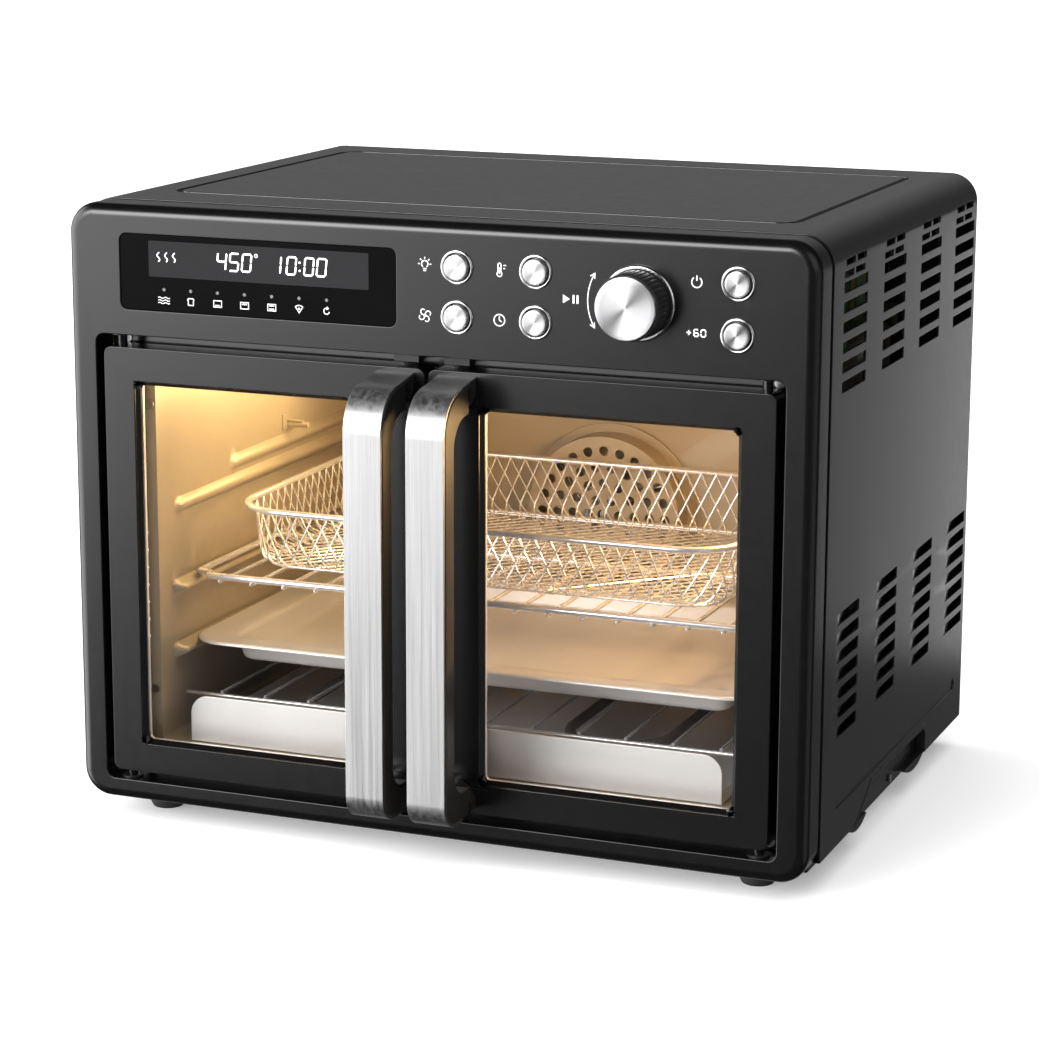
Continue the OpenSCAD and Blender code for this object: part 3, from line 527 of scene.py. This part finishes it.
UPPER, LOWER = 359, 330         # heights of the two rows of buttons
BUTTONS = {
    "light": (19.5, UPPER), "convection": (19.5, LOWER), "temperature": (67.9, UPPER),
    "time": (67.9, LOWER), "cancel": (188.3, UPPER), "add_minute": (188.3, LOWER),
}
KNOB = (129.8, 344.7)


def dished(radius, front_y, back_y, dish, rim):
    """Profile of a turned cap: a slightly hollow face, a bright chamfer and a straight side."""
    inner = radius - rim
    face = [(inner * t, front_y + dish * (1 - t * t)) for t in (0.0, 0.02, 0.3, 0.6, 0.85, 1.0)]
    chamfer = [(radius - rim * 0.35, front_y + 0.05), (radius, front_y + rim * 0.7)]
    return face + chamfer + [(radius, back_y), (0, back_y)]


def make_buttons():
    """Spun caps of the buttons and the knob, and the bright rings round the buttons."""
    stem = [(9, 3.3), (9, 4.5), (2, 4.5), (2, 12.6), (0, 12.6)]
    cap = dished(7.3, -3.2, 3.3, 0.06, 0.7)[:-1] + stem
    for key, (x, z) in BUTTONS.items():
        lathe(key + "_cap", x, z, cap, key + "_key", "spun_aluminium", [key + "_button"])
    rim = [(8.6, 1.5), (8.6, -0.9), (8.75, -1.1), (9.1, -1.2), (9.5, -1.12), (9.85, -0.8), (10, -0.3),
           (10, 0), (9.2, 0), (9.2, 1.5)]
    for key, (x, z) in BUTTONS.items():
        stands_for = ["button_rings"] if key == "light" else []
        lathe(key + "_ring", x, z, rim, "oven_body", "polished_ring", stands_for)
    cap = dished(18, -23, -21, 0.1, 0.8)[:-2] + [(18, -21), (17, -21), (17, -20), (0, -20)]
    lathe("knob_face", KNOB[0], KNOB[1], cap, "knob", "spun_aluminium", ["knob_cap"], steps=96)


def make_groove_shadow_strip():
    """Painted shadow: a dull strip on the floor of the groove round the raised top panel, where the groove's
    shade falls.
    """
    outline, corner = (201, 66, 328), 14
    width, depth, gap = 4, 0.8, 0.3
    floor_z = max(v.co.z for v in nodes["outer_shell"].data.vertices) * 1000 - depth
    section = [(gap, -0.1), (gap, 0.06), (width - gap, 0.06), (width - gap, -0.1)]
    verts = []
    for inset, rise in section:
        verts += [at(x, y, floor_z + rise) for x, y in inset_ring(outline, inset, corner - inset)]
    faces = ring_faces(len(section), len(verts) // len(section), closed_path=True)
    piece("top_groove_shadow_strip", verts, faces, "oven_body", "painted_groove_shadow")


make_buttons()
make_groove_shadow_strip()

# ---------------------------------------------------------------- printed marks and display

SEGMENTS = {"0": "abcdef", "1": "bc", "4": "fgbc", "5": "afgcd", "6": "afgedc"}


def segment_digit(char, x, z, width, height, thick, slant=0.1):
    """Seven-segment digit as short six-sided bars; x, z is its lower left corner."""
    gap, t = thick * 0.12, thick / 2
    w, h = width - thick, height - thick
    ends = {"a": ((0, h), (w, h)), "b": ((w, h), (w, h / 2)), "c": ((w, h / 2), (w, 0)),
            "d": ((0, 0), (w, 0)), "e": ((0, 0), (0, h / 2)), "f": ((0, h / 2), (0, h)),
            "g": ((0, h / 2), (w, h / 2))}
    bars = []
    for s in SEGMENTS[char]:
        p, q = Vector(ends[s][0]), Vector(ends[s][1])
        d = (q - p).normalized()
        n = Vector((-d.y, d.x))
        p, q = p + d * gap, q - d * gap
        bar = [p, p + (d + n) * t, q + (n - d) * t, q, q - (n + d) * t, p + (d - n) * t]
        bars.append([(x + t + v.x + slant * v.y, z + t + v.y) for v in bar])
    return bars


def mark_air(x, z, y):
    steps = [0.6 * k for k in range(14)]
    return [stroke(x, z, [(t - 4, rise + 0.4 * math.sin(t * 1.6)) for t in steps], 0.4, y)
            for rise in (-1.6, 0, 1.6)]


def mark_toast(x, z, y):
    bread = ([(-1.7, -1.9), (1.7, -1.9), (1.7, 0.4)] + arc(1.1, 1.2, 0.9, -40, 100, 6)
             + arc(-1.1, 1.2, 0.9, 80, 220, 6) + [(-1.7, 0.4)])
    return [stroke(x, z, bread, 0.5, y, closed=True)]


def mark_box(x, z, y):
    return stroke(x, z, [(-2.6, -1.9), (2.6, -1.9), (2.6, 1.9), (-2.6, 1.9)], 0.5, y, closed=True)


def mark_bake(x, z, y):
    return [mark_box(x, z, y), stroke(x, z, [(-1.6, -0.9), (1.6, -0.9)], 0.55, y)]


def mark_broil(x, z, y):
    zigzag = [(-1.6, 0.5), (-0.8, 1.1), (0, 0.5), (0.8, 1.1), (1.6, 0.5)]
    return [mark_box(x, z, y), stroke(x, z, zigzag, 0.5, y)]


def mark_roast(x, z, y):
    return [mark_box(x, z, y)] + [stroke(x, z, [(-1.6, dz), (1.6, dz)], 0.55, y) for dz in (-0.9, 0.9)]


def mark_slice(x, z, y):
    wedge = [(-2.4, 1.5), (0, -2.0), (2.4, 1.5)] + arc(0, -1.2, 3.6, 48, 132, 6)[1:-1]
    return [stroke(x, z, wedge, 0.5, y, closed=True),
            stroke(x, z, arc(0, 0.4, 0.45, 0, 300, 5), 0.45, y, closed=True)]


def mark_reheat(x, z, y):
    return [stroke(x, z, arc(0, 0, 1.8, 60, 350), 0.5, y),
            stroke(x, z, [(0.2, 2.6), (1.1, 1.6), (-0.1, 0.9)], 0.5, y)]


def mark_light(x, z, y):
    bulb_z = 0.8
    parts = []
    for a in (math.radians(45 * k) for k in range(5)):
        ray = [(r * math.cos(a), bulb_z + r * math.sin(a)) for r in (3.0, 4.1)]
        parts.append(stroke(x, z, ray, 0.6, y))
    parts.append(stroke(x, z, arc(0, bulb_z, 2.0, -55, 235), 0.6, y))
    parts += [stroke(x, z, [(-half, dz), (half, dz)], 0.6, y) for half, dz in ((1.1, -1.9), (0.8, -3.0))]
    return parts


def mark_fan(x, z, y):
    parts = [stroke(x, z, arc(0, 0, 0.7, 0, 330, 11), 0.6, y, closed=True)]
    blade = arc(2.0, 0.9, 1.7, 200, 20, 8) + [(3.2, 0.1)]
    for a in (math.radians(90 * k) for k in range(4)):
        c, s = math.cos(a), math.sin(a)
        parts.append(stroke(x, z, [(c * p - s * q, s * p + c * q) for p, q in blade], 0.55, y))
    return parts


def mark_temperature(x, z, y):
    tube = ([(-0.9, -1.2), (-0.9, 2.9)] + arc(0, 2.9, 0.9, 180, 0, 6)[1:-1] + [(0.9, 2.9), (0.9, -1.2)]
            + arc(0, -2.4, 1.5, 53, -233, 12))
    return [stroke(x, z, tube, 0.55, y, closed=True), stroke(x, z, [(0, -2.4), (0, 1.2)], 0.7, y),
            stroke(x, z, [(2.4, 2.6), (4.0, 2.6)], 0.55, y), stroke(x, z, [(2.4, 0.8), (3.4, 0.8)], 0.55, y)]


def mark_clock(x, z, y):
    return [stroke(x, z, arc(0, 0, 3.3, 0, 345, 23), 0.6, y, closed=True),
            stroke(x, z, [(0, 2.1), (0, 0), (1.5, -0.9)], 0.6, y)]


def mark_start(x, z, y):
    triangle = [(x - 5.0, z - 2.4), (x - 0.9, z), (x - 5.0, z + 2.4)]
    bars = [stroke(x, z, [(dx, -2.4), (dx, 2.4)], 1.1, y) for dx in (1.4, 3.8)]
    return [plate(triangle, y - INK, y)] + bars


def mark_power(x, z, y):
    return [stroke(x, z, arc(0, -0.4, 3.0, 125, 415), 0.65, y), stroke(x, z, [(0, 0.4), (0, 3.4)], 0.65, y)]


def mark_sixty(x, z, y):
    bars = (segment_digit("6", x - 1.6, z - 2.2, 3.4, 4.6, 0.75, 0)
            + segment_digit("0", x + 2.6, z - 2.2, 3.4, 4.6, 0.75, 0))
    plus = [[(-5.6, 0.1), (-2.9, 0.1)], [(-4.25, -1.25), (-4.25, -0.25)], [(-4.25, 0.45), (-4.25, 1.45)]]
    return [plate(bar, y - INK, y) for bar in bars] + [stroke(x, z, line, 0.7, y) for line in plus]


MODE_MARKS = (mark_air, mark_toast, mark_bake, mark_broil, mark_roast, mark_slice, mark_reheat)
BUTTON_MARKS = [
    (mark_light, -0.6, UPPER), (mark_fan, -0.6, LOWER), (mark_temperature, 45.7, UPPER),
    (mark_clock, 45.7, LOWER), (mark_start, 89.5, KNOB[1]), (mark_power, 164, UPPER),
    (mark_sixty, 164, LOWER),
]


def make_display():
    """The lit field, what it shows, and the seven mode marks under it."""
    y = (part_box("display_window")[0].y - front) * 1000
    field, lit_layer = 0.06, 0.12           # how far each stands in front of the window
    lcd = rounded_ring(-180.2, -36.5, 342.4, 363.9, 0.8, 3)
    piece("display_field", *plate(lcd, y - field, y + 0.4), "oven_body", "lcd_glass")
    parts = []
    digits = [("4", -135.4), ("5", -127.2), ("0", -119.0), ("1", -99.6), ("0", -89.8), ("0", -78.4),
              ("0", -70.3)]
    for char, x in digits:
        for bar in segment_digit(char, x, 348.2, 6.7, 11.3, 1.05):
            parts.append(plate(bar, y - lit_layer, y - field))
    for z in (351.2, 356.0):
        parts.append(plate(arc(-80.6, z, 0.65, 0, 330, 11), y - lit_layer, y - field))
    parts.append(ribbon(arc(-108.9, 358.4, 0.95, 0, 330, 11), 0.4, y - field, closed=True))
    for i in range(3):
        wave = [(0.9 * math.sin(t * 1.25), t) for t in (0.8 * k for k in range(8))]
        parts.append(stroke(-173.6 + 5.2 * i, 351.6, wave, 0.6, y - field))
    piece("display_marks", *join(parts), "oven_body", "display_light", sharp=20)
    parts = []
    for i, draw in enumerate(MODE_MARKS):
        parts += draw(-170.3 + 17.8 * i, 328.4, y)
    piece("mode_marks", *join(parts), "oven_body", "white_print", sharp=20)


def make_button_marks():
    """The marks beside the buttons and the two-headed arrow beside the knob."""
    parts = []
    for draw, x, z in BUTTON_MARKS:
        parts += draw(x, z, 0)
    swing, radius = 29.6, 30.4
    parts.append(ribbon(arc(*KNOB, radius, 180 - swing, 180 + swing, 20), 0.55, 0))
    for side in (-1, 1):
        a = math.radians(180 + side * swing)
        outward = Vector((math.cos(a), math.sin(a)))
        along = Vector((-math.sin(a), math.cos(a))) * side
        tip = Vector(KNOB) + outward * radius
        tail = tip - along * 2.2
        parts.append(ribbon([tail + outward * 1.5, tip + along * 0.6, tail - outward * 1.5], 0.5, 0))
    piece("button_marks", *join(parts), "oven_body", "white_print", sharp=20)


make_display()
make_button_marks()

# ---------------------------------------------------------------- cavity

RIBS = [(45, 192, 4), (121, 205, 4), (40, 140.5, 8), (40, 100, 8)]      # front y, centre z, height
RIB_END = 306                   # y of every rib's rear end


def rib_height(y, z):
    """How far the side wall stands in at a point: smooth pressed guides with tapered ends."""
    half_width, taper = 5.0, 7.0
    most = 0.0
    for y0, z0, height in RIBS:
        across = abs(z - z0) / half_width
        ends = min((y - y0) / taper, (RIB_END - y) / taper)
        if across < 1 and ends > 0:
            power = 1.2 if height > 4 else 1.0
            lift = math.cos(across * math.pi / 2) ** power
            most = max(most, height * lift * math.sin(min(1.0, ends) * math.pi / 2))
    return most


def make_liner():
    """Cavity walls, floor and ceiling as one sheet with a flange at its front and a closed rear."""
    half, low, high, corner = 190.0, 46.0, 290.0, 4.0
    sheet = 1.2
    near_ribs = {z0 + d for _, z0, _ in RIBS for d in range(-5, 6)}
    side_z = sorted(near_ribs | {60 + 12 * k for k in range(20)} | {low + corner, high - corner})
    side_z = [z for z in side_z if low + corner <= z <= high - corner]
    side_z = [z for i, z in enumerate(side_z) if i == 0 or z - side_z[i - 1] > 0.6]
    columns = 16
    across = [half - corner - (half - corner) * 2 / columns * k for k in range(columns + 1)]

    def corner_points(cx, cz, start, r):
        return [(cx + r * math.cos(a), cz + r * math.sin(a))
                for a in (math.radians(start + 22.5 * k) for k in (1, 2, 3))]

    def ring(y, out=0.0, ribbed=True):
        """One section of the sheet, grown outwards by out."""
        r = corner + out
        walls = [(half + out - (rib_height(y, z) if ribbed else 0), z) for z in side_z]
        points = walls + corner_points(half - corner, high - corner, 0, r)
        points += [(x, high + out) for x in across]
        points += corner_points(corner - half, high - corner, 90, r)
        points += [(-x, z) for x, z in reversed(walls)]
        points += corner_points(corner - half, low + corner, 180, r)
        points += [(-x, low - out) for x in across]
        points += corner_points(half - corner, low + corner, 270, r)
        return [at(x, y, z) for x, z in points]

    # Sections stand close together where the ribs begin and end.
    lengths = [25.5, 32, 38, 40, 41.5, 43, 44.5, 46, 48, 50, 52, 56, 66, 80, 95, 108, 118, 121, 122.5, 124,
               126, 128, 132, 140, 160, 180, 200, 220, 240, 260, 280, 292, 298, 300, 302, 304, 306, 310, 318]
    rings = [ring(y, out, False) for y, out in ((23.3, 7.0), (23.4, 1.2), (23.8, 0.3))]
    rings += [ring(y) for y in lengths]
    rings += [ring(y, out, False) for y, out in ((319.3, -0.6), (320, -2.4))]
    per = len(rings[0])
    faces = ring_faces(len(rings), per)
    faces.append(tuple(range((len(rings) - 1) * per, len(rings) * per)))
    obj = smooth_object("cavity_walls", [v for points in rings for v in points], faces)
    thick = obj.modifiers.new("sheet", "SOLIDIFY")
    thick.thickness = sheet / 1000
    thick.offset = 1.0
    settle(obj)
    obj.data.set_sharp_from_angle(angle=math.radians(50))
    dress(obj, "oven_body", "aluminised_steel", ["cavity_liner"])


make_liner()

# ---------------------------------------------------------------- cooking pieces


def make_rack():
    """Wire frame with stepped corners, one cross wire and sixteen wires from front to back."""
    z, frame_r, cross_r, wire_r = 146.7, 2.2, 2.0, 1.3
    near, far = 57, 297
    steps = [(184.8, 11), (184.3, 9), (182.8, 8), (178, 8), (175.8, 7), (175, 5), (174.6, 2.2), (173.2, 0.6),
             (171, 0)]                      # x and distance in from the end, at each corner
    loop = []
    for side, end in ((1, 1), (-1, 1), (-1, -1), (1, -1)):
        y_end = far if end > 0 else near
        corner = [(side * x, y_end - end * inward, z) for x, inward in steps]
        loop += corner if side * end > 0 else corner[::-1]
    parts = [tube_mesh(loop, frame_r, 12, closed=True),
             tube_mesh([(-185, 177, z), (185, 177, z)], cross_r, 10)]
    for x in [side * (11 + 22 * k) for k in range(8) for side in (-1, 1)]:
        run = [(x, 55, z - 2.7), (x, 60, z - 2.9), (x, 295, z - 2.9), (x, 298.4, z - 2.7)]
        parts.append(tube_mesh(run, wire_r, 8, round_ends=True))
    piece("rack_mesh", *join(parts), "rack", "plated_wire", ["wire_rack", "rack_wires"], sharp=60)


BASKET = (166, 64, 288)         # half width, near y and far y of the rim
BASKET_CORNER = 38
RIM_Z, MESH_TOP, MESH_FLOOR = 188.6, 188.0, 150.2
WALL_LINE = 996.0               # length that the wall's wires are shared out along


def basket_point(s, h):
    """A point of the basket's wall: s along the wall line, h from 0 at the rim to 1 at the floor's edge."""
    inset = 7.4 + 3.2 * h + 7.0 * max(0.0, (h - 0.78) / 0.22) ** 2
    half, y0, y1 = BASKET[0] - inset, BASKET[1] + inset, BASKET[2] - inset
    r = BASKET_CORNER - inset
    straight_x, straight_y = 2 * (half - r), y1 - y0 - 2 * r
    quarter = math.pi * r / 2
    sides = [straight_x, straight_y, straight_x, straight_y]
    d = (s % WALL_LINE) * (sum(sides) + 4 * quarter) / WALL_LINE
    z = MESH_TOP - (MESH_TOP - MESH_FLOOR) * h
    corners = [(half - r, y0 + r, -90), (half - r, y1 - r, 0), (r - half, y1 - r, 90),
               (r - half, y0 + r, 180)]
    starts = [(r - half, y0), (half, y0 + r), (half - r, y1), (-half, y1 - r)]
    headings = [(1, 0), (0, 1), (-1, 0), (0, -1)]
    for length, (cx, cy, turn), (x, y), (dx, dy) in zip(sides, corners, starts, headings):
        if d <= length:
            return (x + dx * d, y + dy * d, z)
        d -= length
        if d <= quarter:
            a = math.radians(turn) + d / r
            return (cx + r * math.cos(a), cy + r * math.sin(a), z)
        d -= quarter
    return (*starts[0], z)


def clip_floor(offset, lean, half, y0, y1, r):
    """The part of one slanting floor wire that lies within the basket's rounded floor."""
    centre, step = (y0 + y1) / 2, 0.75
    inside = []
    for i in range(-400, 401):
        x = i * step
        y = centre + offset + lean * x
        dx, dy = max(0.0, abs(x) - half + r), max(0.0, abs(y - centre) - (y1 - y0) / 2 + r)
        if dx * dx + dy * dy <= r * r:
            inside.append((x, y))
    return (inside[0], inside[-1]) if len(inside) > 8 else None


def make_basket():
    """Rim band, leaning wall wires both ways, a hoop low on the wall and a diamond floor."""
    rim_band = [(0.0, 188.6), (0.3, 189.7), (1.1, 190.35), (2.4, 190.5), (3.8, 190.3), (4.7, 189.6),
                (5.0, 188.6), (4.7, 187.5), (3.8, 186.8), (2.4, 186.6), (1.1, 186.8), (0.3, 187.5)]
    verts = []
    for inset, z in rim_band:
        verts += [at(x, y, z) for x, y in inset_ring(BASKET, inset, BASKET_CORNER - inset, 12)]
    parts = [(verts, ring_faces(len(rim_band), len(verts) // len(rim_band), closed_path=True))]
    wires, wall_steps, lean_pitches, wire_r = 96, 8, 1.9, 0.55
    pitch = WALL_LINE / wires
    for k in range(wires):
        for lean in (-1, 1):
            run = [basket_point(pitch * (k + lean * lean_pitches * i / wall_steps), i / wall_steps)
                   for i in range(wall_steps + 1)]
            run[0] = (run[0][0], run[0][1], RIM_Z)
            parts.append(tube_mesh(run, wire_r, 5))
    hoop_steps = 120
    hoop = [basket_point(WALL_LINE * i / hoop_steps, 0.97) for i in range(hoop_steps)]
    parts.append(tube_mesh(hoop, 0.8, 6, closed=True))
    spacing, floor_z = pitch * 1.12, 150.1
    for lean in (-1, 1):
        for k in range(-60, 61):
            clip = clip_floor(k * spacing, lean, 148.8, 81.2, 270.8, 21.0)
            if clip:
                parts.append(tube_mesh([(x, y, floor_z) for x, y in clip], wire_r, 5))
    piece("basket_mesh", *join(parts), "basket", "plated_wire", ["fry_basket"], sharp=70)


def make_pan():
    """Pressed baking pan: rolled edge, wide flange, sloping wall and floor, one closed skin."""
    outline, corner, least_corner = (187, 50, 292), 24, 4.0
    # Section through the rim as (distance in, height), down the outside and back up the inside.
    outer = [(0.9, 105.9), (0.25, 105.4), (0.0, 104.7), (0.25, 104.0), (1.0, 103.7), (1.7, 104.1),
             (1.9, 104.6), (3.0, 104.45), (12, 104.1), (19.5, 103.8), (21.2, 103.0), (22.4, 101.2),
             (24.5, 92.5), (25.6, 90.2), (28, 89.0), (60, 89.0)]
    inner = [(60, 90.1), (28.6, 90.1), (26.7, 91.1), (25.6, 93.2), (23.6, 101.8), (22.4, 103.9),
             (20.4, 105.1), (12, 105.3), (4.0, 105.55), (2.4, 106.0), (1.6, 106.1)]
    verts = []
    for inset, z in outer + inner:
        r = max(least_corner, corner - inset * 0.62)
        verts += [at(x, y, z) for x, y in inset_ring(outline, inset, r, 8)]
    rings = len(outer) + len(inner)
    per = len(verts) // rings
    floors = (len(outer) - 1, len(outer))       # the two rings that are filled in, with no wall between
    faces = ring_faces(rings, per, closed_path=True)
    del faces[floors[0] * per:floors[1] * per]
    faces += [tuple(range(a * per, (a + 1) * per)) for a in floors]
    piece("pan_sheet", verts, faces, "pan", "bare_steel", ["baking_pan"], sharp=60)


make_rack()
make_basket()
make_pan()

# ---------------------------------------------------------------- floor, world and lights


def make_floor():
    """Pale plain floor that the metal doesn't reflect."""
    mesh = bpy.data.meshes.new("floor")
    reach = 30
    mesh.from_pydata([(-reach, -reach, 0), (reach, -reach, 0), (reach, reach, 0), (-reach, reach, 0)], [],
                     [(0, 1, 2, 3)])
    floor = bpy.data.objects.new("floor", mesh)
    scene.collection.objects.link(floor)
    f = Finish("floor")
    f.link(f.ramp(f.noise(6, 2), (0.93, 0.93, 0.93), (0.95, 0.95, 0.95)), "Base Color")
    f.shader.inputs["Roughness"].default_value = 0.9
    f.shader.inputs["Emission Color"].default_value = (1, 1, 1, 1)
    f.shader.inputs["Emission Strength"].default_value = 0.3
    f.shader.inputs["Specular IOR Level"].default_value = 0.0
    mesh.materials.append(f.material)
    floor.visible_glossy = False
    floor.visible_shadow = False


def make_world():
    """White to the camera; elsewhere a dim room with soft bright areas that the metal reflects."""
    world = bpy.data.worlds.new("world")
    scene.world = world
    world.use_nodes = True
    tree = world.node_tree
    tree.nodes.clear()

    def add(kind, **settings):
        node = tree.nodes.new(kind)
        for key, value in settings.items():
            setattr(node, key, value)
        return node

    def math_node(operation, a, b):
        node = add("ShaderNodeMath", operation=operation)
        for i, v in enumerate((a, b)):
            if isinstance(v, (int, float)):
                node.inputs[i].default_value = v
            else:
                tree.links.new(v, node.inputs[i])
        return node.outputs[0]

    direction = add("ShaderNodeTexCoord").outputs["Generated"]
    total = 0.03
    # Azimuth from the front to the left, elevation, inner and outer radius in degrees, and strength.
    # A negative strength takes light away from the areas that it overlaps.
    areas = [
        (62, 13, 33, 53, 4.6), (25, 20, 4, 22, 9.5), (160, 12, 15, 35, 0.26), (-62, 24, 8, 36, 0.8),
        (-165, -12, 4, 34, 0.08), (24, -36, 9, 29, -6.0), (58, 60, 14, 40, -4.6),
        (-92, -14, 4, 30, 0.35), (166, -36, 4, 32, 0.35), (92, -14, 4, 30, 0.35),
    ]
    for azimuth, elevation, inner, outer, strength in areas:
        a, e = math.radians(azimuth), math.radians(elevation)
        towards = (-math.sin(a) * math.cos(e), -math.cos(a) * math.cos(e), math.sin(e))
        dot = add("ShaderNodeVectorMath", operation="DOT_PRODUCT")
        tree.links.new(direction, dot.inputs[0])
        dot.inputs[1].default_value = towards
        soft = add("ShaderNodeMapRange", interpolation_type="SMOOTHSTEP")
        tree.links.new(dot.outputs["Value"], soft.inputs["Value"])
        soft.inputs["From Min"].default_value = math.cos(math.radians(outer))
        soft.inputs["From Max"].default_value = math.cos(math.radians(inner))
        total = math_node("ADD", math_node("MULTIPLY", soft.outputs["Result"], strength), total)
    room = add("ShaderNodeBackground")
    tree.links.new(math_node("MAXIMUM", total, 0.0), room.inputs["Strength"])
    white = add("ShaderNodeBackground")
    white.inputs["Color"].default_value = (1, 1, 1, 1)
    mix = add("ShaderNodeMixShader")
    tree.links.new(add("ShaderNodeLightPath").outputs["Is Camera Ray"], mix.inputs[0])
    tree.links.new(room.outputs[0], mix.inputs[1])
    tree.links.new(white.outputs[0], mix.inputs[2])
    tree.links.new(mix.outputs[0], add("ShaderNodeOutputWorld").inputs["Surface"])


def area_light(name, place, aim, size, power, color=(1, 1, 1), seen_in_gloss=True):
    """A rectangular light of size (across, up) that points from place to aim."""
    data = bpy.data.lights.new(name, "AREA")
    data.shape = "RECTANGLE"
    data.size, data.size_y = size
    data.energy = power
    data.color = color
    light = bpy.data.objects.new(name, data)
    light.location = place
    light.rotation_euler = (Vector(aim) - Vector(place)).to_track_quat("-Z", "Y").to_euler()
    light.visible_camera = False
    light.visible_glossy = seen_in_gloss
    scene.collection.objects.link(light)


def make_lights():
    sky_data = bpy.data.lights.new("studio_sky", "SUN")
    sky_data.energy = 3.3
    sky_data.angle = math.radians(100)
    studio_sky = bpy.data.objects.new("studio_sky", sky_data)
    studio_sky.rotation_euler = (math.radians(12), math.radians(-10), 0)
    studio_sky.visible_glossy = False
    scene.collection.objects.link(studio_sky)
    area_light("side_card", (0.34, 1.0, 0.06), (0.236, 0.45, 0.2), (0.25, 0.42), 0.3)
    area_light("oven_lamp", at(172, 120, 242), at(-190, 130, 205), (0.06, 0.06), 0.9, (1.0, 0.62, 0.27))
    area_light("cavity_fill", at(-120, 140, 262), at(-190, 115, 225), (0.2, 0.04), 0.4, (1.0, 0.72, 0.34))
    area_light("front_fill", (-0.15, -1.1, 0.14), (0, -0.1, 0.07), (0.7, 0.25), 1.2, (0.95, 0.96, 1.0),
               seen_in_gloss=False)


make_floor()
make_world()
make_lights()
